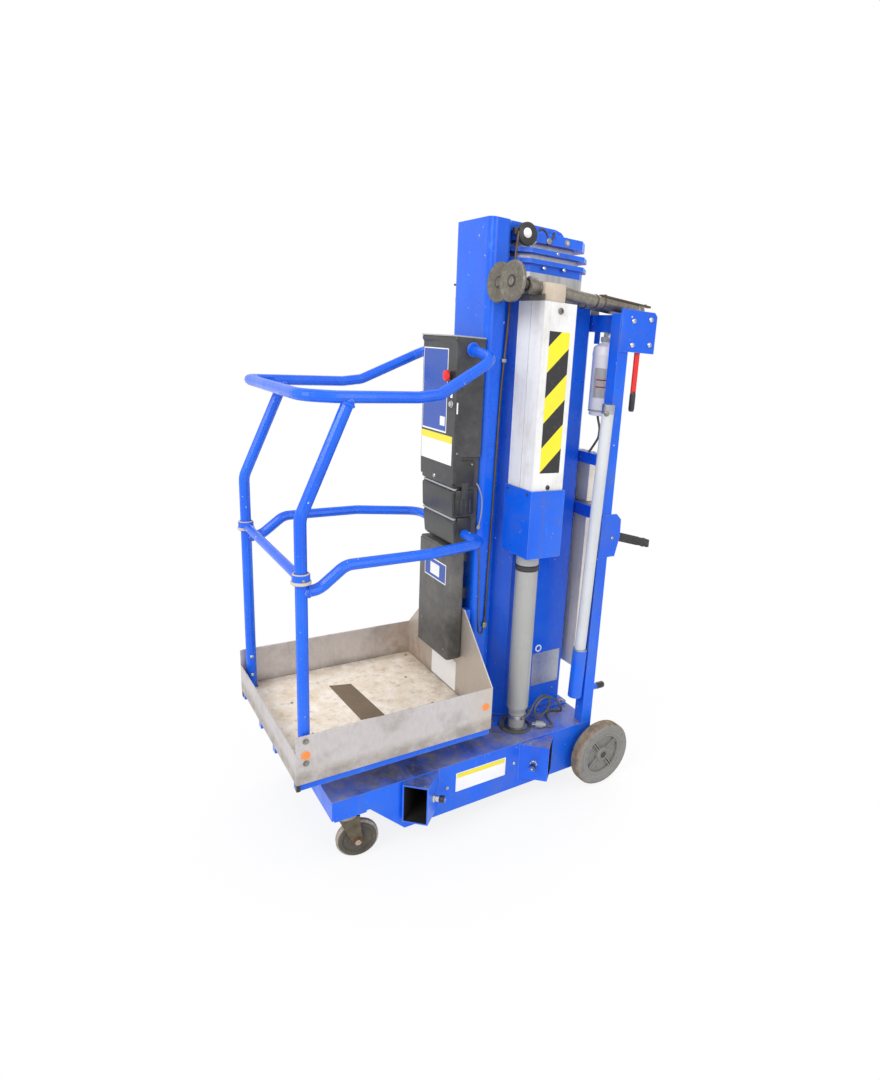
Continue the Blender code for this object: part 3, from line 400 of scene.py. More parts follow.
def plastic(name, colour, dusty, roughness, dust):
    """Moulded plastic: fine texture, dust in patches, paler rubbed edges."""
    g = Graph(name)
    patch = g.span(g.noise(7.0, 6.0, 0.65), 0.38, 0.68)
    fine = g.span(g.noise(46.0, 5.0, 0.7), 0.35, 0.75)
    base = g.mix(g.times(g.math("ADD", g.times(patch, 0.7), g.times(fine, 0.3)), dust), colour, dusty)
    rub = g.span(g.times(g.edges(0.003), g.noise(30.0, 4.0)), 0.2, 0.5)
    base = g.mix(g.times(rub, 0.6), base, dusty)
    g.set("Base Color", base)
    g.set("Roughness", g.blend(patch, roughness - 0.08, roughness + 0.16))
    g.set("Normal", g.bump(g.noise(900.0, 2.0), 0.0003, 0.5))
    return g


def rubber(name, colour, dusty, dust):
    """Dull rubber or board, with dust in patches and specks."""
    g = Graph(name)
    patch = g.span(g.noise(16.0, 6.0, 0.7), 0.34, 0.7)
    specks = g.span(g.noise(150.0, 3.0, 0.7), 0.55, 0.75)
    base = g.mix(g.times(patch, dust), colour, dusty)
    base = g.mix(g.times(specks, 0.4 * dust), base, DUST)
    g.set("Base Color", base)
    g.set("Roughness", g.blend(patch, 0.7, 0.9))
    g.set("Normal", g.bump(g.noise(240.0, 4.0, 0.7), 0.0006, 0.6))
    return g


def hazard_tape():
    """Yellow and black stripes rising towards the back at 45 degrees, scuffed."""
    g = plastic("hazard_tape", (0.9, 0.8, 0.015), (0.62, 0.52, 0.12), 0.38, 0.25)
    along = g.math("SUBTRACT", g.axis("Z"), g.axis("Y"))
    start = TAPE_Z[1] - TAPE_Y[0] - 0.047
    turn = g.math("FRACT", g.math("DIVIDE", g.math("SUBTRACT", along, start), TAPE_STEP))
    black = g.math("LESS_THAN", turn, 0.5)
    worn = g.span(g.noise(90.0, 5.0, 0.75), 0.56, 0.7)
    g.cover(black, g.mix(g.times(worn, 0.35), (0.022, 0.022, 0.024), (0.16, 0.155, 0.15)), 0.5)
    return g


def mast_section_material(name, low, high):
    """Bare tube with a painted collar between two heights."""
    g = metal(name, (0.66, 0.66, 0.66), (0.36, 0.36, 0.37), 0.34, (1, 1, 0.04), dirt=0.25)
    paint = g.mix(g.span(g.noise(5.0, 4.0), 0.3, 0.7), BLUE_DEEP, BLUE)
    # Paler collar edges: partly rubbed paint, partly a painted highlight along them
    worn = g.span(g.times(g.edges(0.003), g.noise(30.0, 4.0, 0.7)), 0.3, 0.46)
    paint = g.mix(g.times(worn, 0.7), paint, BLUE_EDGE_WEAR_AND_HIGHLIGHT)
    grease = g.span(g.noise(21.0, 6.0, 0.7), 0.55, 0.72)
    paint = g.mix(g.times(grease, 0.6), paint, (0.03, 0.028, 0.03))
    g.cover(g.within("Z", low, high), paint, 0.36)
    return g


def wheel_material(name, centre, edge, side, side_dust, tread, tread_dust):
    """Wheel whose rolled band, further than edge from its middle, carries the ground's colour."""
    g = rubber(name, side, side_dust, 0.6)
    patch = g.span(g.noise(24.0, 6.0, 0.7), 0.35, 0.65)
    g.cover(g.around(centre, edge - 0.001, edge + 0.001), g.mix(patch, tread, tread_dust), 0.85)
    grime = g.span(g.noise(52.0, 6.0, 0.75), 0.54, 0.7)
    g.cover(g.times(grime, 0.55), (0.06, 0.05, 0.038), 0.9)
    return g


def socket_material(name, place, axis):
    """Worn paint, with painted shade and dirt darkening the bore behind the mouth."""
    g = painted(name, BLUE, BLUE_DEEP, 0.3, 0.45, 0.33, floor_dirt=0.8)
    # Painted shade, with some dirt, inside the bore behind the mouth
    dark = g.mix(g.noise(30.0, 5.0), (0.006, 0.006, 0.008), (0.022, 0.018, 0.016))
    g.cover(g.inside_tube(place, axis, 0.0378, 0.0628), dark, 0.8)
    return g


def tray_material():
    """Dull sheet: warm towards the back, darker at its foot, rust in the far rear corner."""
    g = metal("platform_aluminium", (0.7, 0.665, 0.66), (0.56, 0.53, 0.52), 0.46, (1, 1, 0.5), dirt=0.3,
              scale=80.0, metallic=0.8)
    g.cover(g.times(g.span(g.axis("Y"), -0.12, -0.03), 0.55), (0.58, 0.5, 0.4), 0.5, 0.5)
    # Darker towards the foot of the walls
    foot = g.times(g.span(g.axis("Z"), 0.372, 0.4, 1.0, 0.0), g.span(g.noise(14.0, 5.0, 0.7), 0.3, 0.6))
    g.cover(g.times(foot, 0.55), (0.2, 0.15, 0.1), 0.8, 0.2)
    corner = g.invert(g.around((-0.262, -0.075, 0.4), 0.03, 0.15))
    g.cover(g.times(g.span(g.noise(26.0, 5.0), 0.38, 0.64), corner, 0.7), (0.34, 0.18, 0.08), 0.8, 0.1)
    return g


def beam_material():
    g = metal("beam_aluminium", (0.88, 0.88, 0.88), (0.78, 0.77, 0.76), 0.52, (1, 1, 0.03), dirt=0.18,
        scale=60.0, metallic=0.04)
    smear = g.span(g.noise(16.0, 5.0, 0.65, (1, 1, 0.35)), 0.52, 0.7)
    g.cover(g.times(smear, 0.3), (0.46, 0.4, 0.33), 0.6, 0.1)
    return g


def floor_panel_material():
    """Pale worn board, scuffed, with browner painted shade along its rear and far edges."""
    g = rubber("plywood", (0.74, 0.61, 0.45), (0.99, 0.94, 0.86), 0.8)
    scuffs = g.span(g.noise(30.0, 7.0, 0.75), 0.54, 0.66)
    g.cover(g.times(scuffs, 0.45), (0.3, 0.22, 0.13), 0.8)
    # Painted shade along the board's rear and far edges
    shade = g.most(g.span(g.axis("Y"), -0.1, -0.03), g.span(g.axis("X"), -0.26, -0.32))
    g.cover(g.times(shade, 0.6, g.span(g.noise(18.0, 5.0, 0.7), 0.3, 0.6)), (0.22, 0.165, 0.1), 0.8)
    return g


def column_material():
    """Grey paint with the black ring of a seal."""
    g = painted("grey_paint", (0.42, 0.42, 0.41), (0.34, 0.34, 0.33), 0.3, 0.4, 0.34, (0.3, 0.27, 0.24),
                edge_wear_and_highlight_colour=(0.75, 0.75, 0.73))
    g.cover(g.within("Z", 0.855, 0.877), (0.045, 0.045, 0.045), 0.6)
    return g


def make_materials():
    made = {
        "blue_paint": painted("blue_paint", BLUE, BLUE_DEEP, 0.3, 0.45, 0.33, floor_dirt=0.92),
        "blue_paint_mast": painted("blue_paint_mast", BLUE, BLUE_DEEP, 0.16, 0.25, 0.3, floor_dirt=0.5),
        "blue_paint_carriage": painted("blue_paint_carriage", BLUE, BLUE_DEEP, 0.1, 0.35, 0.26,
            streaks=0.08),
        "white_paint": painted("white_paint", (0.64, 0.66, 0.68), (0.56, 0.58, 0.6), 0.15, 0.3, 0.36,
                               (0.25, 0.22, 0.2), edge_wear_and_highlight_colour=(0.8, 0.8, 0.8)),
        "beige_paint": painted("beige_paint", (0.95, 0.88, 0.72), (0.88, 0.8, 0.64), 0.2, 0.3, 0.45,
                               (0.25, 0.22, 0.2), edge_wear_and_highlight_colour=(0.7, 0.66, 0.58)),
        "grey_paint": column_material(),
        "platform_aluminium": tray_material(),
        "beam_aluminium": beam_material(),
        "plywood": floor_panel_material(),
        "hazard_tape": hazard_tape(),
    }
    for name, side in SIDES:
        for end, (mouth_x, mouth_y, along) in SOCKETS:
            node = f"socket_{end}_{name}"
            made[node] = socket_material(node, (side * mouth_x, mouth_y, SOCKET_Z), (side, along, 0))
        for kind, edge, tones in (
                ("rear_wheel_", 0.1215,
                 ((0.2, 0.195, 0.185), (0.3, 0.29, 0.27), (0.15, 0.11, 0.075), (0.33, 0.25, 0.165))),
                ("castor_wheel_", 0.06,
                 ((0.05, 0.046, 0.04), (0.15, 0.125, 0.09), (0.23, 0.19, 0.145), (0.46, 0.4, 0.33)))):
            node = kind + name
            low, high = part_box(node)
            made[node] = wheel_material(node, (low + high) / 2, edge, *tones)
    # The painted collar at each section's head
    for number, (low, high) in enumerate(((1.834, 1.88), (1.89, 1.91), (1.925, 2.0)), 1):
        name = f"mast_section_{number}"
        made[name] = mast_section_material(name, low, high)
    # Colour, darker colour, roughness, stretch of the grain, rust, dirt, scale of the grain, metallic
    even = (1, 1, 1)
    for name, *finish in (
            ("bare_steel", STEEL, STEEL_DARK, 0.4, even, 0.3),
            ("mast_steel", (0.66, 0.66, 0.66), (0.36, 0.36, 0.37), 0.34, (1, 1, 0.04), 0.0, 0.25),
            ("castor_steel", (0.26, 0.225, 0.17), (0.1, 0.085, 0.06), 0.55, even, 0.35, 0.6),
            ("jack_steel", (0.42, 0.39, 0.34), (0.17, 0.15, 0.125), 0.42, even, 0.22, 0.5, 70.0),
            ("foot_steel", (0.36, 0.34, 0.29), (0.15, 0.135, 0.11), 0.45, even, 0.1, 0.5, 90.0),
            ("chrome", (0.78, 0.78, 0.76), (0.55, 0.54, 0.52), 0.22, even, 0.0, 0.3),
            ("bolt_steel", (0.52, 0.51, 0.48), (0.24, 0.23, 0.21), 0.38, even, 0.25, 0.5),
            ("pulley_steel", (0.3, 0.28, 0.26), (0.16, 0.15, 0.14), 0.5, even, 0.0, 0.4, 45.0, 0.5),
            ("label_silver", (0.62, 0.64, 0.68), (0.42, 0.44, 0.48), 0.35, even, 0.0, 0.3),
            ("strap", (0.22, 0.17, 0.13), (0.09, 0.07, 0.055), 0.5, (1, 1, 0.3), 0.5, 0.5),
            ("axle_rust", (0.4, 0.16, 0.05), (0.16, 0.06, 0.03), 0.7, even, 0.8, 0.3),
            ("brass", (0.6, 0.5, 0.22), (0.35, 0.28, 0.12), 0.35, even, 0.0, 0.5)):
        made[name] = metal(name, *finish)
    # Colour, dusty colour, roughness, dust
    for name, *finish in (
            # For the console and the lower box, the dusty colour and dust amount stand partly for real
            # dust, partly for a painted sheen of grazing reflection
            ("console_plastic", (0.024, 0.024, 0.026), (0.15, 0.148, 0.142), 0.4, 0.55),
            ("box_plastic", (0.045, 0.043, 0.041), (0.2, 0.19, 0.175), 0.5, 0.85),
            ("reservoir_plastic", (0.96, 0.94, 0.91), (0.86, 0.81, 0.75), 0.3, 0.3),
            ("knob_black", (0.016, 0.016, 0.017), (0.09, 0.088, 0.084), 0.36, 0.4),
            ("label_white", (0.9, 0.9, 0.9), (0.72, 0.7, 0.66), 0.34, 0.3),
            ("label_yellow", (0.88, 0.76, 0.02), (0.6, 0.5, 0.12), 0.36, 0.3),
            ("label_blue", (0.018, 0.075, 0.4), (0.1, 0.15, 0.36), 0.34, 0.3),
            ("red_plastic", (0.78, 0.015, 0.012), (0.45, 0.06, 0.04), 0.3, 0.25),
            ("reflector", (1.0, 0.24, 0.03), (0.9, 0.34, 0.12), 0.22, 0.3),
            ("grey_plastic", (0.36, 0.37, 0.37), (0.5, 0.49, 0.46), 0.45, 0.4),
            ("wire_grey", (0.3, 0.3, 0.28), (0.42, 0.4, 0.36), 0.5, 0.5)):
        made[name] = plastic(name, *finish)
    # Colour, dusty colour, dust
    for name, *finish in (
            ("tyre_rubber", (0.125, 0.115, 0.1), (0.21, 0.19, 0.16), 0.7),
            ("castor_rubber", (0.036, 0.032, 0.028), (0.13, 0.105, 0.07), 0.7),
            ("grip_rubber", (0.022, 0.022, 0.023), (0.12, 0.11, 0.1), 0.4),
            ("cable", (0.06, 0.062, 0.052), (0.19, 0.18, 0.14), 0.7),
            ("grip_strip", (0.15, 0.105, 0.062), (0.23, 0.17, 0.11), 0.7),
            ("wheel_web", (0.24, 0.235, 0.225), (0.33, 0.32, 0.3), 0.6),
            ("tan_wood", (0.52, 0.43, 0.33), (0.7, 0.62, 0.52), 0.6)):
        made[name] = rubber(name, *finish)
    return {name: g.material for name, g in made.items()}


def dress_nodes(materials):
    """A node takes the finish made for it alone, or else the one of its slot."""
    slots = {entry["node"]: entry["material_slot"] for entry in frame["record"]["subparts"]}
    for name, obj in NODES.items():
        obj.data.materials.clear()
        obj.data.materials.append(materials.get(name) or materials[slots[name]])


# Making pieces

def smooth_path(points, steps=6):
    """A Catmull-Rom curve through the points."""
    points = [Vector(p) for p in points]
    ends = [2 * points[0] - points[1]] + points + [2 * points[-1] - points[-2]]
    path = []
    for a, b, c, d in zip(ends, ends[1:], ends[2:], ends[3:]):
        for i in range(steps):
            t = i / steps
            path.append(0.5 * (2 * b + (c - a) * t + (2 * a - 5 * b + 4 * c - d) * t * t
                               + (3 * b - a - 3 * c + d) * t ** 3))
    path.append(points[-1])
    return path


def round_outline(width, height, radius, steps=4):
    """A rectangle with round corners about the origin."""
    points = []
    for cx, cy, start in ((1, 1, 0), (-1, 1, 90), (-1, -1, 180), (1, -1, 270)):
        for i in range(steps + 1):
            angle = math.radians(start + 90 * i / steps)
            points.append((cx * (width / 2 - radius) + radius * math.cos(angle),
                           cy * (height / 2 - radius) + radius * math.sin(angle)))
    return points


class Piece:
    """One object of the dressing; each shape in it names one of its materials by number."""

    def __init__(self, name, body, slot, *materials):
        self.name = name
        self.body = body
        self.slot = slot
        self.materials = materials
        self.bm = bmesh.new()

    def merge(self, part, material, turn=None):
        """Takes a finished shape into the piece."""
        if turn is not None:
            bmesh.ops.transform(part, matrix=turn, verts=part.verts)
        for face in part.faces:
            face.material_index = material
        mesh = bpy.data.meshes.new("shape")
        part.to_mesh(mesh)
        part.free()
        self.bm.from_mesh(mesh)
        bpy.data.meshes.remove(mesh)

    def block(self, x, y, z, bevel, material=0, turn=None):
        """A box between two places on each axis, its edges rounded."""
        part = bmesh.new()
        bmesh.ops.create_cube(part, size=1.0)
        size = Vector((x[1] - x[0], y[1] - y[0], z[1] - z[0]))
        middle = Vector((x[0] + x[1], y[0] + y[1], z[0] + z[1])) / 2
        place = Matrix.Translation(middle) @ Matrix.Diagonal(size).to_4x4()
        bmesh.ops.transform(part, matrix=place, verts=part.verts)
        if bevel:
            bmesh.ops.bevel(part, geom=part.edges[:], offset=bevel, segments=2, profile=0.5,
                affect="EDGES", clamp_overlap=True)
        self.merge(part, material, turn)

    def lathe(self, profile, start, axis, steps=24, material=0):
        """(radius, height) pairs turned about an axis from a start point."""
        part = bmesh.new()
        rings = []
        for radius, height in profile:
            if radius < 1e-6:
                rings.append([part.verts.new((0, 0, height))])
                continue
            rings.append([part.verts.new((radius * math.cos(2 * math.pi * i / steps),
                                          radius * math.sin(2 * math.pi * i / steps), height))
                          for i in range(steps)])
        for a, b in zip(rings, rings[1:]):
            for i in range(steps):
                j = (i + 1) % steps
                corners = [a[i % len(a)], a[j % len(a)], b[j % len(b)], b[i % len(b)]]
                corners = list(dict.fromkeys(corners))
                if len(corners) > 2:
                    part.faces.new(corners)
        turn = Matrix.Translation(start) @ Vector(axis).to_track_quat("Z", "Y").to_matrix().to_4x4()
        self.merge(part, material, turn)

    def bolt(self, place, axis, radius=0.006, material=0, washer=0):
        """Hexagon head on a washer."""
        place, axis = Vector(place), Vector(axis).normalized()
        self.lathe([(radius * 0.5, -0.002), (radius * 1.75, -0.002), (radius * 1.75, 0.0012),
            (radius * 0.9, 0.0014)], place, axis, 20, washer)
        height = radius * 0.85
        self.lathe([(radius * 1.12, 0.001), (radius * 1.12, height * 0.85), (radius * 0.95, height),
            (0.0, height * 1.02)], place, axis, 6, material)

    def screw(self, place, axis, radius=0.004, material=0):
        """Domed head with a small socket in its middle."""
        self.lathe([(radius, -0.001), (radius, radius * 0.3), (radius * 0.8, radius * 0.58),
            (radius * 0.45, radius * 0.68), (radius * 0.36, radius * 0.3), (0.0, radius * 0.28)], place,
            axis, 16, material)

    def slab(self, outline, origin, u, v, thick, bevel=0.0005, material=0):
        """An outline in the plane of u and v, given thickness along their normal."""
        part = bmesh.new()
        u, v, origin = Vector(u).normalized(), Vector(v).normalized(), Vector(origin)
        verts = [part.verts.new(origin + u * a + v * b) for a, b in outline]
        face = part.faces.new(verts)
        made = bmesh.ops.extrude_face_region(part, geom=[face])
        moved = [item for item in made["geom"] if isinstance(item, bmesh.types.BMVert)]
        bmesh.ops.translate(part, vec=u.cross(v) * thick, verts=moved)
        if bevel:
            bmesh.ops.bevel(part, geom=part.edges[:], offset=bevel, segments=1, profile=0.5,
                affect="EDGES", clamp_overlap=True)
        self.merge(part, material)

    def badge(self, face, at, along, up, material=0, thick=0.001, radius=0.003):
        """A thin plate with round corners on one of the object's flat faces."""
        a, b = sum(along) / 2, sum(up) / 2
        origin = {"left": (at, a, b), "right": (at, a, b), "top": (a, b, at)}.get(face, (a, at, b))
        outline = round_outline(abs(along[1] - along[0]), abs(up[1] - up[0]), radius)
        self.slab(outline, origin, *FACES[face], thick, thick * 0.3, material)

    def hollow(self, outer, inner, z, material=0):
        """An upright tube between two outlines with as many points each."""
        part = bmesh.new()
        rings = [[part.verts.new((x, y, height)) for x, y in outline]
                 for outline, height in ((outer, z[0]), (outer, z[1]), (inner, z[1]), (inner, z[0]))]
        count = len(outer)
        for a, b in zip(rings, rings[1:] + rings[:1]):
            for i in range(count):
                j = (i + 1) % count
                part.faces.new((a[i], a[j], b[j], b[i]))
        self.merge(part, material)

    def tube(self, points, radius, sides, material=0, steps=6):
        """A round bar along a smooth curve through the points."""
        path = smooth_path(points, steps) if steps > 1 else [Vector(p) for p in points]
        part = bmesh.new()
        ahead = (path[1] - path[0]).normalized()
        across = ahead.orthogonal().normalized()
        rings = []
        for i, place in enumerate(path):
            if 0 < i < len(path) - 1:
                ahead = (path[i + 1] - path[i - 1]).normalized()
            elif i:
                ahead = (path[i] - path[i - 1]).normalized()
            across = (across - ahead * across.dot(ahead)).normalized()
            other = ahead.cross(across)
            rings.append([part.verts.new(place + (across * math.cos(2 * math.pi * k / sides)
                                                  + other * math.sin(2 * math.pi * k / sides)) * radius)
                          for k in range(sides)])
        for a, b in zip(rings, rings[1:]):
            for k in range(sides):
                j = (k + 1) % sides
                part.faces.new((a[k], a[j], b[j], b[k]))
        part.faces.new(rings[0][::-1])
        part.faces.new(rings[-1])
        self.merge(part, material)

    def done(self, sharp=35.0):
        """Makes the object, with hard edges past an angle in degrees, and sets it on its body."""
        bmesh.ops.recalc_face_normals(self.bm, faces=self.bm.faces)
        mesh = bpy.data.meshes.new(self.name)
        self.bm.to_mesh(mesh)
        self.bm.free()
        mesh.shade_smooth()
        mesh.set_sharp_from_angle(angle=math.radians(sharp))
        for material in self.materials:
            mesh.materials.append(MATERIALS[material])
        obj = bpy.data.objects.new(self.name, mesh)
        bpy.context.scene.collection.objects.link(obj)
        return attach(obj, self.body)


# Cords

def make_cord(name, body, material, points, diameter):
    """A round cord through the points, on a body."""
    path = smooth_path(points, 8)
    curve = bpy.data.curves.new(name, "CURVE")
    curve.dimensions = "3D"
    curve.bevel_depth = diameter / 2
    curve.bevel_resolution = 4
    curve.use_fill_caps = True
    spline = curve.splines.new("POLY")
    spline.points.add(len(path) - 1)
    for point, place in zip(spline.points, path):
        point.co = (*place, 1.0)
    curve.materials.append(MATERIALS[material])
    obj = bpy.data.objects.new(name, curve)
    bpy.context.scene.collection.objects.link(obj)
    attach(obj, body)


def make_cords():
    # Hoisting cable down the column's left edge, over the head pulley
    make_cord("column_cable", "carriage", "strap",
        [(0.1215, 0.105, 1.945), (0.1212, 0.1035, 1.92), (0.1205, 0.091, 1.78), (0.12, 0.0855, 1.64),
        (0.1198, 0.076, 1.49), (0.1196, 0.071, 1.3), (0.1196, 0.067, 1.05), (0.1196, 0.062, 0.8),
        (0.1196, 0.0585, 0.63)], 0.008)
    # Thin wire that comes back up beside it
    make_cord("column_wire", "carriage", "cable",
        [(0.118, 0.02, 0.94), (0.1186, 0.024, 0.9), (0.119, 0.029, 0.8), (0.1192, 0.032, 0.7),
        (0.1192, 0.0345, 0.64), (0.1192, 0.039, 0.612), (0.1192, 0.048, 0.602), (0.1192, 0.056, 0.612),
        (0.1192, 0.058, 0.632)], 0.0045)
    # Thin wire from the console's side into the column
    fitting = Piece("console_wire_fitting", "carriage", "console_plastic", "wire_grey")
    fitting.lathe([(0.0, -0.002), (0.0036, -0.002), (0.0058, 0.002), (0.0058, 0.01), (0.0042, 0.012),
        (0.0, 0.012)], (0.1225, 0.014, 1.004), (-0.2, -0.1, -1), 14)
    fitting = fitting.done()
    make_cord("console_wire", "carriage", "wire_grey",
        [(0.119, 0.0, 1.15), (0.1235, 0.006, 1.138), (0.124, 0.019, 1.105), (0.124, 0.022, 1.072),
        (0.124, 0.019, 1.035), (0.1225, 0.014, 1.004)], 0.0042)
    # Return hose of the reservoir, down to the crossbar
    make_cord("reservoir_hose", "base", "cable",
        [(0.182, 0.4415, 1.392), (0.19, 0.4415, 1.372), (0.2, 0.442, 1.345), (0.196, 0.443, 1.312),
        (0.176, 0.444, 1.284), (0.158, 0.4445, 1.262), (0.152, 0.4445, 1.255)], 0.0085)
    # Charging lead at the foot of the left column: two loops, then its plug on the deck
    plug = Piece("lead_plug", "base", "reservoir_plastic", "grey_plastic", "chrome")
    turn = Matrix.Translation((0.27, 0.258, DECK_Z + 0.013)) @ Matrix.Rotation(math.radians(230), 4, "Z")
    axis = turn.to_3x3() @ Vector(LEFTWARD)
    plug.lathe([(0.0, 0.0), (0.0055, 0.0), (0.0075, 0.008), (0.0125, 0.014), (0.013, 0.036),
        (0.0118, 0.038), (0.0, 0.038)], turn.translation, axis, 20)
    for offset in (-0.005, 0.005):
        plug.lathe([(0.0021, 0.0), (0.0021, 0.015), (0.0, 0.0155)], turn @ Vector((0.037, offset, 0)),
            axis, 10, 1)
    plug = plug.done()
    low = DECK_Z + 0.004
    make_cord("charging_lead", "base", "cable",
        [(0.2385, 0.177, 0.292), (0.239, 0.193, 0.298), (0.235, 0.212, 0.318), (0.23, 0.235, 0.343),
        (0.227, 0.262, 0.354), (0.225, 0.29, 0.343), (0.225, 0.302, 0.314), (0.226, 0.29, 0.286),
        (0.229, 0.262, 0.274), (0.236, 0.234, 0.285), (0.241, 0.223, 0.313), (0.241, 0.236, 0.34),
        (0.24, 0.264, 0.352), (0.238, 0.296, 0.344), (0.234, 0.326, 0.322), (0.228, 0.35, 0.292),
        (0.218, 0.368, 0.264), (0.203, 0.374, 0.2495), (0.186, 0.362, low), (0.18, 0.336, low),
        (0.198, 0.312, low), (0.23, 0.301, low), (0.261, 0.293, low), (0.279, 0.277, 0.249),
        (0.27, 0.258, 0.255)], 0.0075)
    # The rest of the lead, wound round the column's foot
    wound = []
    for i in range(29):
        angle = math.radians(10 - 20 * i)
        reach = 0.046 + 0.0082 * i / 18
        x, y = COLUMN_FOOT[0] + reach * math.cos(angle), COLUMN_FOOT[1] + reach * math.sin(angle)
        wound.append((x, y, low + 0.0112 * max(0.0, min(1.0, (0.178 - x) / 0.012))))
    make_cord("lead_winding", "base", "cable", wound, 0.0075)


# Base, wheels and rear frame

def make_base():
    sign = Piece("base_side_plate", "base", "white_paint", "label_white", "label_yellow")
    sign.badge("left", BASE_X, (-0.134, 0.063), (0.132, 0.203))
    sign.badge("left", BASE_X + 0.0009, (-0.131, 0.058), (0.184, 0.2005), 1, 0.0005, 0.001)
    sign.done()

    screws = Piece("base_fasteners", "base", "bare_steel", "bolt_steel", "knob_black", "chrome")
    for _, side in SIDES:
        for y, z in ((0.1, 0.167), (-0.166, 0.159)):
            screws.screw((side * BASE_X, y, z), (side, 0, 0), 0.006, 2)
        screws.bolt((side * 0.188, -0.522, DECK_Z), UP, 0.007, 0, 1)
        for y in (0.095, 0.26, 0.425):
            screws.bolt((side * 0.1455, y, 0.2526), UP, 0.0058)
        for dx in (-0.035, 0.035):
            for dy in (-0.04, 0.04):
                screws.bolt((side * CASTOR_X + dx, CASTOR_Y + dy, 0.1718), (0, 0, -1), 0.005)
    screws.done()

    for name, side in SIDES:
        for end, (mouth_x, mouth_y, along) in SOCKETS:
            axis = Vector((side, along, 0)).normalized()
            across = Vector((side, -along, 0)).normalized()
            seat = Vector((side * mouth_x, mouth_y, SOCKET_Z)) - axis * 0.052 + across * 0.0425
            plunger = Piece(f"socket_plunger_{end}_{name}", "base", "bare_steel", "chrome", "knob_black")
            plunger.lathe([(0.0, -0.001), (0.0142, -0.001), (0.0142, 0.0045), (0.013, 0.006),
                (0.0, 0.006)], seat, across, 6)
            plunger.lathe([(0.01, 0.0055), (0.01, 0.018), (0.0092, 0.02), (0.0, 0.02)], seat, across, 20)
            plunger.lathe([(0.008, 0.02), (0.0112, 0.0215), (0.012, 0.025), (0.012, 0.035),
                (0.0105, 0.0385), (0.006, 0.0402), (0.0, 0.0403)], seat, across, 24, 1)
            plunger.lathe([(0.0042, 0.0398), (0.004, 0.0407), (0.0, 0.0409)], seat, across, 16)
            plunger.done()


def make_wheels():
    for name, side in SIDES:
        hub = Vector((side * REAR_HUB[0], *REAR_HUB[1:]))
        out = (side, 0, 0)
        ribs = Piece("rear_wheel_web_" + name, "rear_roller_" + name, "tyre_rubber", "wheel_web",
            "knob_black", "pulley_steel")
        for quarter in range(4):
            turn = Matrix.Translation(hub) @ Matrix.Rotation(math.radians(38 + 90 * quarter), 4, "X")
            for z in ((-0.006, -0.0026), (0.0026, 0.006)):
                ribs.block(sorted((-side * 0.0165, -side * 0.0045)), (0.026, 0.08), z, 0.001, 0, turn)
        ribs.lathe([(0.075, -0.012), (0.077, -0.0035), (0.08, -0.0035), (0.081, -0.006)], hub, out, 48)
        ribs.lathe([(0.09, -0.0045), (0.0905, -0.002), (0.0935, -0.0016), (0.0945, -0.004)], hub, out, 48)
        ribs.lathe([(0.013, -0.0015), (0.0145, 0.0008), (0.021, 0.0008), (0.023, -0.0012)], hub, out, 32,
            2)
        ribs.lathe([(0.0, -0.005), (0.0128, -0.005), (0.0128, -0.001), (0.0105, -0.0004), (0.0, -0.0004)],
            hub, out, 24, 1)
        ribs.done()

        place = Vector((side * CASTOR_X, CASTOR_Y, 0))
        turn = Matrix.Translation(place) @ Matrix.Rotation(math.radians(CASTOR_TURN[name]), 4, "Z")
        across = turn.to_3x3() @ Vector(LEFTWARD)
        axle = turn @ Vector((0, 0.034, 0.065))
        fork = Piece("castor_hardware_" + name, "castor_swivel_" + name, "castor_steel", "strap",
            "bolt_steel", "axle_rust")
        for sign in (1, -1):
            start = axle + across * sign * 0.0252
            fork.lathe([(0.0, 0.0), (0.015, 0.0), (0.015, 0.0016), (0.0, 0.0018)], start, across * sign,
                24, 2)
            fork.lathe([(0.0, 0.0016), (0.01, 0.0016), (0.01, 0.0062), (0.0085, 0.0074), (0.0, 0.0076)],
                start, across * sign, 6, 1)
        fork.lathe([(0.0358, -0.015), (0.0385, -0.014), (0.0385, -0.005), (0.0358, -0.0038)],
            (side * CASTOR_X, CASTOR_Y, 0.1714), UP, 36, 1)
        fork.done()


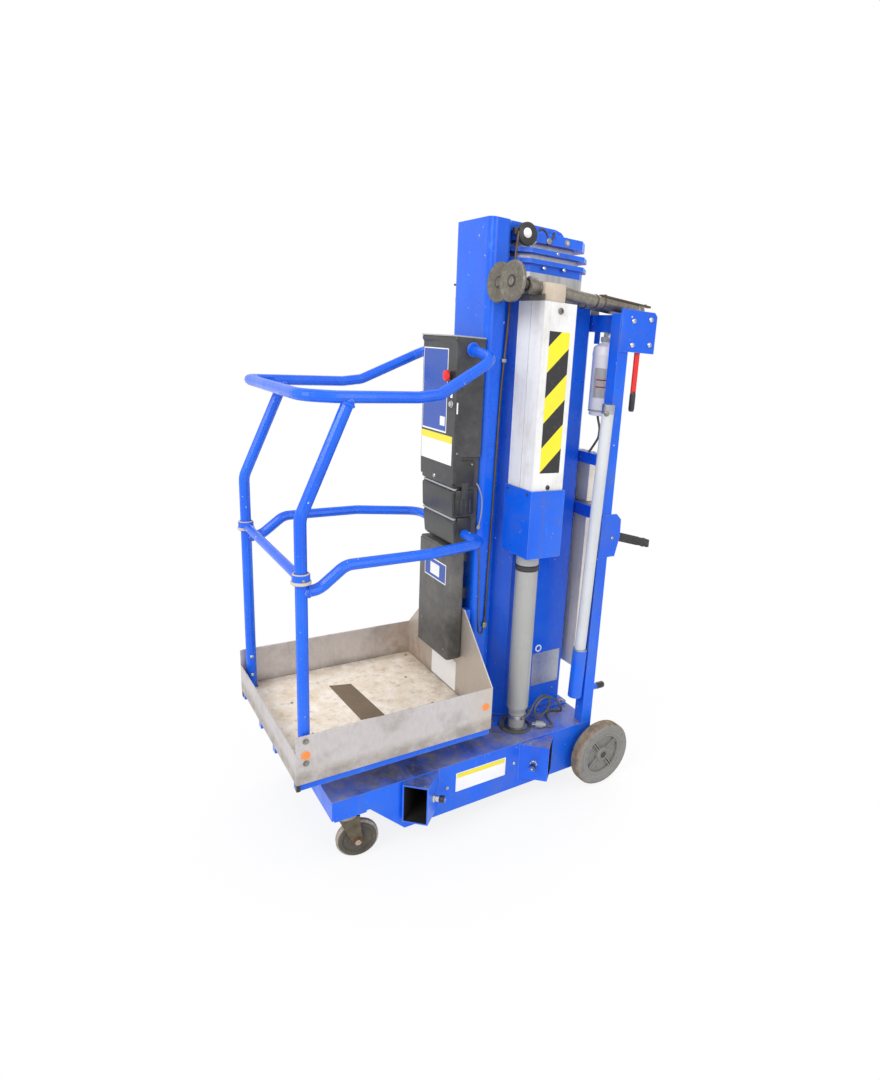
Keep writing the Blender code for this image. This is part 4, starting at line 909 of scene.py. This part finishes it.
def make_rear():
    frame_bolts = Piece("rear_frame_fasteners", "base", "bare_steel", "bolt_steel", "knob_black",
        "chrome")
    for _, side in SIDES:
        for y, z in ((0.451, 1.711), (0.527, 1.722), (0.453, 1.635), (0.531, 1.641)):
            frame_bolts.screw((side * 0.313, y, z), (side, 0, 0), 0.0085, 2)
        frame_bolts.screw((side * 0.3108, 0.455, 0.969), (side, 0, 0), 0.0055, 2)
        frame_bolts.lathe([(0.0118, -0.014), (0.0128, -0.01), (0.0128, 0.017), (0.0112, 0.0202),
            (0.0, 0.0206)], (side * GRIP_X, 0.487, 0.37), BACKWARD, 24, 1)
    frame_bolts.done()

    lever = Piece("release_lever", "base", "blue_paint", "red_plastic", "knob_black", "bolt_steel")
    lever.block((0.296, 0.304), (LEVER_Y - 0.01, LEVER_Y + 0.01), (1.478, 1.655), 0.0012)
    lever.lathe([(0.0, 0.0), (0.0085, 0.002), (0.0105, 0.012), (0.0105, 0.06), (0.008, 0.068),
        (0.0, 0.069)], (0.3, LEVER_Y, 1.484), (0, 0, -1), 20, 1)
    lever.bolt((0.2962, LEVER_Y, 1.64), (-1, 0, 0), 0.006, 2, 2)
    lever.block((0.303, 0.3058), (LEVER_Y - 0.007, LEVER_Y + 0.007), (1.626, 1.652), 0.0005, 2)
    lever.done()

    foot, top = Vector((0.281, 0.3745, 0.365)), Vector((0.3165, 0.3745, 1.438))
    along = (top - foot).normalized()
    strut = Piece("strut_fittings", "base", "white_paint", "label_silver", "bolt_steel")
    strut.lathe([(0.0209, -0.03), (0.0214, -0.029), (0.0214, 0.0005), (0.0195, 0.0016), (0.0, 0.0018)],
        top, along, 28)
    strut.screw((0.327, 0.359, 1.409), (0.64, -0.77, 0), 0.009, 1)
    strut.lathe([(0.0209, 0.0), (0.0262, 0.0), (0.0262, 0.003), (0.0209, 0.0036)], foot + along * 0.18,
        along, 28)
    strut.done()

    centre = Vector((RESERVOIR_X, RESERVOIR_Y, 0))
    bottle = Piece("reservoir_bottle", "base", "reservoir_plastic", "reservoir_plastic", "label_white",
        "red_plastic", "grey_plastic")
    bottle.lathe([(0.0, 1.39), (0.037, 1.39), (0.0405, 1.3925), (0.041, 1.408), (0.0425, 1.411),
        (0.044, 1.4135), (0.044, 1.59), (0.0452, 1.5925), (0.0452, 1.601), (0.044, 1.6035),
        (0.0435, 1.615), (0.04, 1.6235), (0.024, 1.633), (0.0175, 1.636), (0.0165, 1.642)], centre, UP,
        48)
    bottle.lathe([(0.0, 1.64), (0.02, 1.64), (0.0208, 1.642), (0.0208, 1.654), (0.019, 1.656),
        (0.012, 1.657), (0.0115, 1.6715), (0.0, 1.6716)], centre, UP, 28, 3)
    neck = ((0.202, 1.635), (0.208, 1.652), (0.22, 1.662), (0.233, 1.6715))
    bottle.tube([(x, RESERVOIR_Y, z) for x, z in neck], 0.0085, 16)
    for ring in (1.411, 1.404):
        bottle.lathe([(0.0418, ring), (0.045, ring + 0.0012), (0.045, ring + 0.0038),
            (0.0418, ring + 0.005)], centre, UP, 48, 3 if ring < 1.41 else 0)
    # The label and its two stripes, bent round the bottle towards the machine's left front
    facing = math.atan2(-0.646, 0.763)
    steps = 14
    for low, high, half_turn, reach, material in (
            (1.452, 1.552, 0.8, 0.0444, 1),
            (1.5105, 1.5145, 0.58, 0.0449, 2),
            (1.4865, 1.4905, 0.58, 0.0449, 2)):
        part = bmesh.new()
        angles = [facing - half_turn + 2 * half_turn * i / steps for i in range(steps + 1)]
        ring = [(centre.x + reach * math.cos(a), centre.y + reach * math.sin(a)) for a in angles]
        rows = [[part.verts.new((*spot, height)) for spot in ring] for height in (low, high)]
        for i in range(steps):
            part.faces.new((rows[0][i], rows[0][i + 1], rows[1][i + 1], rows[1][i]))
        bmesh.ops.solidify(part, geom=part.faces[:], thickness=0.0003)
        bmesh.ops.recalc_face_normals(part, faces=part.faces[:])
        bottle.merge(part, material)
    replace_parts(bottle.done(), "oil_reservoir")

    unit = Piece("power_unit_fittings", "base", "beige_paint", "beige_paint", "knob_black", "bolt_steel")
    for i in range(6):
        x = -0.1 + 0.024 * i
        unit.block((x, x + 0.006), (0.543, 0.5485), (1.075, 1.19), 0.0012)
    unit.lathe([(0.0, 0.0), (0.03, 0.0), (0.032, 0.002), (0.032, 0.014), (0.029, 0.018), (0.0, 0.019)],
        (0.1, 0.5435, 1.135), BACKWARD, 32, 1)
    unit.bolt((0.1, 0.5622, 1.135), BACKWARD, 0.006, 2, 2)
    unit.block((0.03, 0.13), (0.47, 0.53), (1.2015, 1.23), 0.003, 1)
    for x in (0.05, 0.08, 0.11):
        unit.lathe([(0.0, 0.0), (0.0105, 0.0), (0.0105, 0.009), (0.008, 0.011), (0.008, 0.018),
            (0.0, 0.019)], (x, 0.5, 1.23), UP, 6, 2)
    for x in (-0.112, 0.134):
        for z in (0.42, 0.73, 1.04):
            unit.screw((x, 0.5287, z), BACKWARD, 0.0055, 2)
    unit.block((-0.118, 0.14), (0.528, 0.5292), (0.724, 0.7255), 0.0003, 1)
    unit.done()

    for name, side in SIDES:
        start, end = Vector((side * GRIP_X, 0.486, 0.968)), Vector((side * GRIP_X, 0.651, 0.925))
        along = (end - start).normalized()
        grip = Piece("grip_ribs_" + name, "base", "grip_rubber", "grip_rubber", "knob_black")
        for i in range(9):
            grip.lathe([(0.0148, -0.003), (0.0166, -0.0016), (0.0166, 0.0016), (0.0148, 0.003)],
                start + along * (0.022 + 0.0125 * i), along, 24)
        grip.lathe([(0.015, -0.004), (0.0178, -0.003), (0.0178, 0.004), (0.015, 0.006)],
            start + along * 0.008, along, 28, 1)
        grip.lathe([(0.015, -0.003), (0.017, -0.002), (0.017, 0.005), (0.015, 0.006)],
            end - along * 0.016, along, 28, 1)
        grip.done()


# Mast, column and outriggers

def mast_outline(inset, front=0.055, rear=0.014):
    """The tube's outline from above, its rear corners nearly square."""
    half, y0, y1 = 0.13 - inset, 0.1 + inset, 0.425 - inset
    front -= inset * (2 - math.sqrt(2))
    rear = max(0.004, rear - inset * (2 - math.sqrt(2)))
    return [(half, y0 + front), (half, y1 - rear), (half - rear, y1), (rear - half, y1),
            (-half, y1 - rear), (-half, y0 + front), (front - half, y0), (half - front, y0)]


def make_mast():
    tube = Piece("mast_outer_tube", "base", "blue_paint_mast", "blue_paint_mast")
    tube.hollow(mast_outline(0), mast_outline(0.006), (0.2529, 1.79))
    tube.hollow(mast_outline(-0.003), mast_outline(0.002), (1.762, 1.7902))
    tube.hollow(mast_outline(-0.004), mast_outline(0.002), (0.2529, 0.258))
    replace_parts(tube.done(), "mast_outer")

    plate = Piece("mast_side_plate", "base", "bare_steel", "label_silver", "label_white", "bolt_steel")
    plate.badge("left", 0.13, (0.275, 0.402), (0.345, 0.48), 0, 0.0008, 0.002)
    for y in (0.281, 0.396):
        for z in (0.351, 0.474):
            plate.screw((0.1306, y, z), LEFTWARD, 0.0024, 2)
    plate.lathe([(0.0092, 0.0), (0.0094, 0.0022), (0.012, 0.003), (0.0142, 0.002), (0.0144, 0.0)],
        (0.13, 0.299, 0.5), LEFTWARD, 28, 1)
    plate.done()

    for stage, body, places in (("first", "mast_stage_1", ((0.209, 1.85, 0.006), (0.289, 1.854, 0.006))),
                                ("second", "mast_stage_2", ((0.259, 1.9, 0.0055),))):
        studs = Piece("collar_studs_" + stage, body, "mast_steel", "chrome", "knob_black")
        for y, z, radius in places:
            for side in (1, -1):
                studs.screw((side * (0.1262 - 0.0022), y, z), (side, 0, 0), radius)
        studs.done()

    head = Piece("mast_head_fittings", "carriage", "mast_steel", "knob_black", "label_white",
        "bolt_steel", "chrome", "blue_paint_mast")
    sheave = Vector((0.1238, 0.141, 1.943))
    head.lathe([(0.0, -0.0158), (0.0325, -0.0158), (0.0345, -0.0135), (0.0345, -0.012), (0.0296, -0.0085),
        (0.0296, -0.0065), (0.0345, -0.003), (0.0345, -0.0014), (0.0325, 0.0), (0.0, 0.0002)], sheave,
        LEFTWARD, 40)
    head.lathe([(0.015, 0.0), (0.0148, 0.0018), (0.0122, 0.0026), (0.0118, 0.0048), (0.009, 0.006),
        (0.0, 0.0064)], sheave + Vector((0, -0.004, 0.002)), LEFTWARD, 28, 1)
    head.block((0.1, 0.118), (0.0945, 0.112), (1.934, 1.956), 0.002, 0)
    head.lathe([(0.0, 0.0), (0.0105, 0.0), (0.0105, 0.016), (0.0085, 0.018), (0.0, 0.018)],
        (0.102, 0.227, 1.934), LEFTWARD, 24, 2)
    head.tube([(0.11, 0.18, 1.955), (0.116, 0.197, 1.966), (0.116, 0.215, 1.956), (0.114, 0.222, 1.94)],
        0.0032, 10)
    head.tube([(0.114, 0.236, 1.94), (0.117, 0.244, 1.956), (0.108, 0.252, 1.966), (0.094, 0.256, 1.961)],
        0.0032, 10)
    head.bolt((0.081, 0.32, 1.9558), UP, 0.008, 2, 2)
    for side in (1, -1):
        head.bolt((side * 0.116, 0.3, 1.94), (side, 0, 0), 0.006, 3, 2)
    head.done()

    clamp = Piece("cable_clamps", "carriage", "bare_steel", "brass", "bolt_steel")
    clamp.block((0.115, 0.1262), (0.05, 0.0665), (0.626, 0.646), 0.0015)
    clamp.bolt((0.126, 0.058, 0.636), LEFTWARD, 0.0034, 1, 1)
    clamp.block((0.115, 0.125), (0.07, 0.086), (1.545, 1.557), 0.0012, 1)
    clamp.done()


def make_jack(name, x, foot_y, height, facing, longer):
    """A stowed jack: disc on its threaded stem, head, tube, crank bar, and the block it lies on."""
    pivot = Vector((x, foot_y, height))
    tilt = Matrix.Translation(pivot) @ Matrix.Rotation(-JACK_DROOP, 4, "X") @ Matrix.Translation(-pivot)
    inward = tilt.to_3x3() @ Vector((0, -facing, 0))
    jack = Piece("jack_" + name, "base", "jack_steel", "jack_steel", "foot_steel", "knob_black", "strap")
    jack.lathe([(0.0, 0.066), (0.0185, 0.066), (0.019, 0.068), (0.019, 0.486), (0.0205, 0.487),
        (0.0205, 0.508), (0.0185, 0.51), (0.015, 0.51), (0.0145, 0.506), (0.0, 0.506)], pivot, inward, 32)
    jack.lathe([(0.0, 0.036), (0.02, 0.036), (0.025, 0.041), (0.025, 0.066), (0.0215, 0.072),
        (0.019, 0.073)], pivot, inward, 28)
    for place in (0.158, 0.3, 0.33):
        jack.lathe([(0.0185, place), (0.0208, place + 0.002), (0.0208, place + 0.006),
            (0.0185, place + 0.008)], pivot, inward, 28, 3)
    thread = [(0.0, -0.002 - longer)]
    steps = int((0.04 + longer) / 0.0025)
    for i in range(steps):
        thread += [(0.0098, -0.002 - longer + 0.0025 * i), (0.0112, -0.002 - longer + 0.0025 * (i + 0.5))]
    jack.lathe(thread + [(0.0098, 0.038), (0.0, 0.038)], pivot, inward, 20)
    face = pivot - inward * longer
    axis = Vector((math.copysign(math.sin(FOOT_TURN), x), facing * math.cos(FOOT_TURN), 0))
    axis = tilt.to_3x3() @ axis
    jack.lathe([(0.0, 0.0), (0.014, 0.0), (0.05, 0.0006), (0.0525, 0.0018), (0.0565, 0.0018),
        (0.0592, 0.0004), (0.06, -0.0025), (0.06, -0.0075), (0.056, -0.0085), (0.018, -0.0085),
        (0.016, -0.016), (0.0, -0.016)], face, axis, 48, 1)
    # A thin black disc round the foot's raised middle ring: painted shade of its dimple
    jack.lathe([(0.019, -0.0003), (0.0186, 0.0009), (0.0, 0.0009)], face, axis, 28, 2)
    jack.lathe([(0.0125, 0.0005), (0.012, 0.0024), (0.008, 0.0026), (0.007, 0.0012), (0.0, 0.0012)], face,
        axis, 24)
    bar_y = sorted((foot_y - facing * 0.325, foot_y - facing * 0.545))
    jack.block((x - 0.01, x + 0.01), bar_y, (height + 0.0172, height + 0.0238), 0.0012, 3, tilt)
    for place in (0.345, 0.527):
        jack.screw(tilt @ Vector((x, foot_y - facing * place, height + 0.0238)),
            tilt.to_3x3() @ Vector(UP), 0.0055)
    if name.endswith("1"):
        jack.block((x - 0.029, x + 0.029), (0.113, 0.191), (1.7387, 1.789), 0.002)
    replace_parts(jack.done(), "outrigger_jack_" + name)


def make_outriggers():
    for name, side in SIDES:
        trim = Piece("beam_fasteners_" + name, "base", "bare_steel", "pulley_steel", "knob_black",
            "brass")
        trim.screw((side * BEAM_FACE_X, 0.1725, 1.7133), (side, 0, 0), 0.01, 0)
        trim.screw((side * BEAM_FACE_X, 0.1725, 1.16), (side, 0, 0), 0.0075, 1)
        trim.block(sorted((side * 0.14, side * 0.2835)), (0.1085, 0.1125), (BEAM_TOP_Z, 1.757), 0.0008, 0)
        trim.bolt((side * 0.211, 0.1086, 1.749), FORWARD, 0.0045, 2, 0)
        for x in (0.15, 0.268):
            trim.screw((side * x, 0.1042, 1.136), FORWARD, 0.0045, 1)
        trim.done()

        saddle = Piece("saddle_block_" + name, "base", "plywood", "tan_wood")
        saddle.block(sorted((side * 0.2181, side * 0.2769)), (0.1127, 0.1914), (BEAM_TOP_Z, 1.792), 0.002)
        saddle.done()
        if side > 0:
            tape = Piece("beam_hazard_tape", "base", "beam_aluminium", "hazard_tape")
            tape.badge("left", BEAM_FACE_X, TAPE_Y, TAPE_Z, 0, 0.0005, 0.001)
            tape.done()

        faces, height, facing = FOOT_DISCS[name]
        for number, (x, y, longer) in enumerate(zip(STOW_X, faces, (0.0, 0.019 if side > 0 else 0.0)), 1):
            make_jack(f"{name}_{number}", side * x, y, height, facing, longer)

    ring = Piece("column_foot_clamp", "base", "bare_steel", "chrome", "bolt_steel")
    ring.lathe([(0.0316, 0.285), (0.0345, 0.2855), (0.0345, 0.299), (0.0316, 0.2995)], (*COLUMN_FOOT, 0),
        UP, 40)
    ring.block((0.236, 0.245), (0.164, 0.176), (0.2865, 0.2975), 0.0012, 1)
    ring.lathe([(0.03, 0.2424), (0.04, 0.2424), (0.0405, 0.247), (0.032, 0.25)], (*COLUMN_FOOT, 0), UP,
        36, 1)
    ring.done()


# Platform, cage and console

def make_platform():
    marks = Piece("tray_reflectors", "carriage", "platform_aluminium", "reflector", "label_white")
    for y, z in ((-0.628, 0.44), (-0.044, 0.437)):
        marks.lathe([(0.0125, 0.0), (0.0125, 0.0016), (0.0112, 0.003), (0.0, 0.0033)],
            (TRAY_FACE_X, y, z), LEFTWARD, 28)
    marks.badge("front", -0.023, (-0.113, 0.076), (0.3735, 0.488), 1, 0.0008, 0.002)
    marks.done()

    bolts = Piece("tray_fasteners", "carriage", "bare_steel", "bolt_steel", "chrome", "knob_black")
    for _, side in SIDES:
        for z in (0.484, 0.415):
            bolts.bolt((side * TRAY_FACE_X, -0.6275, z), (side, 0, 0), 0.0052)
            bolts.screw((side * 0.2835, -0.6265, z + 0.004), (-side, 0, 0), 0.0058, 1)
        bolts.block(sorted((side * 0.3085, side * 0.3225)), (-0.6545, -0.643), (0.326, 0.349), 0.001, 2)
        for y in (-0.543, -0.13):
            bolts.screw((side * 0.112, y, FLOOR_Z), UP, 0.0048)
        bolts.screw((side * 0.29, -0.05, FLOOR_Z), UP, 0.0048)
    for x in (-0.085, 0.085):
        for z in (0.64, 0.56):
            bolts.bolt((x, -0.023, z), FORWARD, 0.005)
    bolts.done()

    strip = Piece("floor_grip_strip", "carriage", "plywood", "grip_strip")
    strip.slab([(-0.174, -0.397), (0.103, -0.384), (0.11, -0.304), (-0.153, -0.324)], (0, 0, FLOOR_Z),
        LEFTWARD, BACKWARD, 0.0012, 0.0004)
    strip.done()

    # Folded hems along the tray's upper edges
    hem = Piece("tray_hems", "carriage", "platform_aluminium", "platform_aluminium")
    for _, side in SIDES:
        wall = side * TRAY_WALL_X
        hem.tube([(wall, -0.648, 0.5), (wall, -0.024, 0.5)], 0.0024, 8, 0, 1)
        hem.tube([(wall, REAR_BOARD_Y, 0.5), (side * 0.117, REAR_BOARD_Y, 0.7025)], 0.0022, 8, 0, 1)
    hem.tube([(-0.322, -0.6535, 0.443), (0.322, -0.6535, 0.443)], 0.0022, 8, 0, 1)
    hem.tube([(-0.117, REAR_BOARD_Y, 0.7025), (0.117, REAR_BOARD_Y, 0.7025)], 0.0022, 8, 0, 1)
    hem.done()


def make_cage():
    beads = Piece("cage_weld_beads", "carriage", "blue_paint_carriage", "blue_paint_carriage")
    for _, side in SIDES:
        x = side * POST_X
        beads.lathe([(0.016, 0.0), (0.0196, 0.0015), (0.0196, 0.0045), (0.016, 0.007)],
            (x, POST_Y, 0.3535), UP, 24)
        back = Vector((0, 0.132, 0.312)).normalized()
        top = Vector((x, -0.493, 1.432)) - back * 0.0205
        beads.lathe([(0.016, -0.004), (0.0198, -0.001), (0.0205, 0.004), (0.016, 0.008)], top, back, 24)
        beads.lathe([(0.016, 0.0), (0.0195, 0.0012), (0.019, 0.0048), (0.016, 0.0062)],
            (x, -0.6085, 0.918), BACKWARD, 24)
        beads.lathe([(0.016, 0.0), (0.0225, 0.001), (0.0225, 0.003), (0.016, 0.004)],
            (side * 0.1205, -0.036, 1.577), (side, 0, 0), 28)
    beads.done()
    bush = Piece("entry_bar_bushes", "entry_gate", "blue_paint_carriage", "tan_wood", "bolt_steel")
    for _, side in SIDES:
        bush.lathe([(0.0178, 0.0), (0.0222, 0.0), (0.0216, 0.0022), (0.0178, 0.0026)],
            (side * POST_X, POST_Y, 0.9685), UP, 28)
        bush.lathe([(0.0236, 0.0), (0.0262, 0.001), (0.0268, 0.005), (0.0258, 0.0088), (0.0236, 0.0092)],
            (side * POST_X, POST_Y, 0.941), UP, 32)
        bush.screw((side * 0.3232, POST_Y, 0.9545), (side, 0, 0), 0.0042, 1)
    bush.done()


def make_console():
    front, back, half = CONSOLE_FRONT, CONSOLE_BACK, CONSOLE_HALF
    u, v = FACES["left"]
    shell = Piece("console_housing", "carriage", "console_plastic", "console_plastic", "grey_plastic",
        "knob_black", "bolt_steel")
    upper = [(back, 1.236), (front, 1.236), (front, 1.596), (front - 0.0055, 1.598),
        (front - 0.0055, 1.611), (front + 0.003, 1.616), (back, 1.616)]
    shell.slab(upper, (-half, 0, 0), u, v, 2 * half, 0.0035)
    panel = [(front + 0.03, 1.15), (front + 0.0015, 1.15), (front, 1.2), (front, 1.24),
        (front + 0.03, 1.24)]
    shell.slab(panel, (-half, 0, 0), u, v, 2 * half, 0.002)
    lower = half - 0.008
    for outline in (
            [(back, 1.034), (front + 0.01, 1.034), (front + 0.008, 1.041), (front + 0.0045, 1.118),
             (front + 0.0085, 1.1245), (back, 1.1245)],
            [(back, 0.93), (front + 0.032, 0.93), (front + 0.019, 0.942), (front + 0.0115, 1.016),
             (front + 0.015, 1.0245), (back, 1.0245)],
            [(back, 1.1355), (front + 0.007, 1.1355), (front + 0.003, 1.142), (front + 0.001, 1.198),
             (front + 0.006, 1.238), (back, 1.238)]):
        shell.slab(outline, (-lower, 0, 0), u, v, 2 * lower, 0.003)
    shell.slab([(back, 0.95), (front + 0.021, 0.95), (front + 0.0165, 1.2), (back, 1.2)],
        (-lower + 0.003, 0, 0), u, v, 2 * (lower - 0.003), 0.0005)
    for side in (1, -1):
        wall = side * lower
        for y0, y1, z0, z1, out in ((front + 0.01, front + 0.08, 1.14, 1.226, 0.0085),
                                    (front + 0.014, front + 0.084, 1.044, 1.128, 0.006),
                                    (front + 0.024, front + 0.078, 0.958, 1.034, 0.0045)):
            shell.block(sorted((wall - side * 0.002, wall + side * out)), (y0, y1), (z0, z1), 0.0035, 2)
        shell.block(sorted((wall + side * 0.004, wall + side * 0.0105)), (front + 0.034, front + 0.058),
            (1.1, 1.152), 0.002, 0)
        for i in range(4):
            y = front + 0.02 + 0.016 * i
            shell.block(sorted((wall + side * 0.004, wall + side * 0.0072)), (y, y + 0.004),
                (1.052, 1.096), 0.001)
        shell.screw((side * (half - 0.0004), front + 0.012, 1.25), (side, 0, 0), 0.004, 3)
        shell.screw((wall + side * 0.008, front + 0.07, 1.214), (side, 0, 0), 0.0036, 3)
    shell.block((-half - 0.001, half + 0.001), (front - 0.0065, back - 0.0005), (1.612, 1.6164), 0.0012,
        1)
    for z in (1.1262, 1.0262):
        shell.block((-lower - 0.0004, lower + 0.0004), (front + 0.0105, front + 0.02), (z, z + 0.0065),
            0.0006, 1)
    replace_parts(shell.done(30.0), "control_console")

    signs = Piece("console_signs", "carriage", "console_plastic", "label_white", "label_blue",
        "label_yellow", "red_plastic", "knob_black", "chrome")
    signs.badge("front", front, (-0.112, 0.062), (1.308, 1.575), 0, 0.0007, 0.002)
    signs.badge("front", front - 0.0006, (-0.1085, 0.0585), (1.3135, 1.5715), 1, 0.0004, 0.001)
    signs.badge("front", front - 0.0009, (0.018, 0.052), (1.33, 1.36), 0, 0.0003, 0.001)
    signs.badge("front", front, (-0.114, 0.106), (1.208, 1.302), 0, 0.0008, 0.001)
    signs.badge("front", front - 0.0007, (-0.114, 0.106), (1.279, 1.302), 2, 0.0004, 0.001)
    button = Vector((0.08, front, 1.492))
    signs.lathe([(0.0, 0.0), (0.015, 0.0), (0.015, 0.003), (0.011, 0.004), (0.011, 0.012), (0.0, 0.012)],
        button, FORWARD, 28, 4)
    signs.lathe([(0.0, 0.01), (0.014, 0.01), (0.0172, 0.012), (0.0178, 0.0165), (0.016, 0.0205),
        (0.01, 0.0232), (0.0, 0.024)], button, FORWARD, 32, 3)
    signs.lathe([(0.011, 0.0), (0.011, 0.003), (0.0085, 0.0045), (0.0085, 0.0085), (0.0, 0.0088)],
        (0.096, front, 1.405), FORWARD, 20, 5)
    signs.badge("front", front, (0.084, 0.098), (1.424, 1.447), 0, 0.0008, 0.002)
    signs.badge("left", half, (front + 0.004, front + 0.009), (1.376, 1.412), 0, 0.0006, 0.001)
    signs.screw((-0.015, front + 0.003, 1.156), FORWARD, 0.007, 5)
    signs.done()

    box = Piece("lower_box_housing", "carriage", "box_plastic", "box_plastic", "tan_wood", "label_white",
        "label_blue", "bolt_steel")
    middle, wide, face, rear = -0.01, 0.118, -0.081, -0.0233
    for smaller, radius, z, thick, bevel in ((0.0, 0.011, 0.52, 0.395, 0.0035),
                                             (0.006, 0.009, 0.914, 0.008, 0.002)):
        outline = round_outline(2 * wide - smaller, rear - face - smaller, radius, 5)
        outline = [(middle + x, (face + rear) / 2 + y) for x, y in outline]
        box.slab(outline, (0, 0, z), LEFTWARD, BACKWARD, thick, bevel)
    for side in (1, -1):
        x = sorted((side * 0.03, side * 0.062))
        for z in (0.723, 0.862):
            box.block(x, (rear - 0.01, CONSOLE_BACK), (z, z + 0.04), 0.001)
    box.badge("front", face, (-0.078, 0.082), (0.79, 0.862), 2, 0.0006, 0.002)
    box.badge("front", face - 0.0005, (-0.074, 0.078), (0.794, 0.858), 3, 0.0003, 0.001)
    box.badge("front", face - 0.0007, (-0.034, 0.034), (0.804, 0.846), 2, 0.0003, 0.001)
    box.screw((-0.087, face, 0.615), FORWARD, 0.0045, 4)
    box.screw((0.082, face, 0.552), FORWARD, 0.0045, 4)
    box.block((middle - wide + 0.016, middle + wide - 0.016), (face - 0.001, face + 0.002), (0.7, 0.702),
        0.0005)
    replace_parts(box.done(), "lower_box")


# Floor and light

def make_floor():
    bm = bmesh.new()
    bmesh.ops.create_grid(bm, x_segments=8, y_segments=8, size=40.0)
    mesh = bpy.data.meshes.new("floor")
    bm.to_mesh(mesh)
    bm.free()
    floor = bpy.data.objects.new("floor", mesh)
    bpy.context.scene.collection.objects.link(floor)
    g = Graph("floor")
    g.set("Base Color", (0.86, 0.86, 0.86))
    g.set("Roughness", 0.9)
    length = g.add("ShaderNodeVectorMath", operation="LENGTH")
    g.put(length.inputs[0], g.coordinates)
    far = g.span(length.outputs["Value"], 0.4, 1.7, 0.84, 1.0, smooth=True)
    path = g.add("ShaderNodeLightPath")
    seen = g.most(path.outputs["Is Camera Ray"], path.outputs["Is Glossy Ray"],
        path.outputs["Is Transmission Ray"])
    glow = g.add("ShaderNodeEmission")
    glow.inputs["Color"].default_value = (1, 1, 1, 1)
    mixed = g.add("ShaderNodeMixShader")
    g.put(mixed.inputs[0], g.times(far, seen))
    g.put(mixed.inputs[1], g.shader.outputs[0])
    g.put(mixed.inputs[2], glow.outputs[0])
    g.tree.links.new(mixed.outputs[0], g.output.inputs["Surface"])
    mesh.materials.append(g.material)


def make_light():
    scene = bpy.context.scene
    scene.view_settings.view_transform = "Standard"
    world = bpy.data.worlds.new("studio")
    scene.world = world
    world.use_nodes = True
    tree = world.node_tree
    tree.nodes.clear()
    output = tree.nodes.new("ShaderNodeOutputWorld")
    background = tree.nodes.new("ShaderNodeBackground")
    background.inputs["Color"].default_value = (1.0, 1.0, 1.0, 1.0)
    path = tree.nodes.new("ShaderNodeLightPath")
    seen = tree.nodes.new("ShaderNodeMath")
    seen.operation = "MAXIMUM"
    tree.links.new(path.outputs["Is Camera Ray"], seen.inputs[0])
    tree.links.new(path.outputs["Is Transmission Ray"], seen.inputs[1])
    strength = tree.nodes.new("ShaderNodeMapRange")
    strength.inputs["To Min"].default_value = 0.89
    strength.inputs["To Max"].default_value = 1.0
    tree.links.new(seen.outputs[0], strength.inputs["Value"])
    tree.links.new(strength.outputs[0], background.inputs["Strength"])
    tree.links.new(background.outputs[0], output.inputs["Surface"])

    for name, place, size, power in (
            ("key", (1.6, -4.2, 4.0), 2.6, 136.0),
            ("side", (4.6, 0.4, 2.8), 2.4, 40.0),
            ("back", (-2.5, 3.5, 4.0), 3.0, 55.0)):
        data = bpy.data.lights.new(name, "AREA")
        data.shape = "SQUARE"
        data.size = size
        data.energy = power
        lamp = bpy.data.objects.new(name, data)
        lamp.location = place
        lamp.rotation_euler = (Vector((0, 0, 0.9)) - Vector(place)).to_track_quat("-Z", "Y").to_euler()
        scene.collection.objects.link(lamp)


make_camera()
MATERIALS = make_materials()
make_cords()
make_floor()
make_light()
dress_nodes(MATERIALS)
make_base()
make_wheels()
make_rear()
make_mast()
make_outriggers()
make_platform()
make_cage()
make_console()
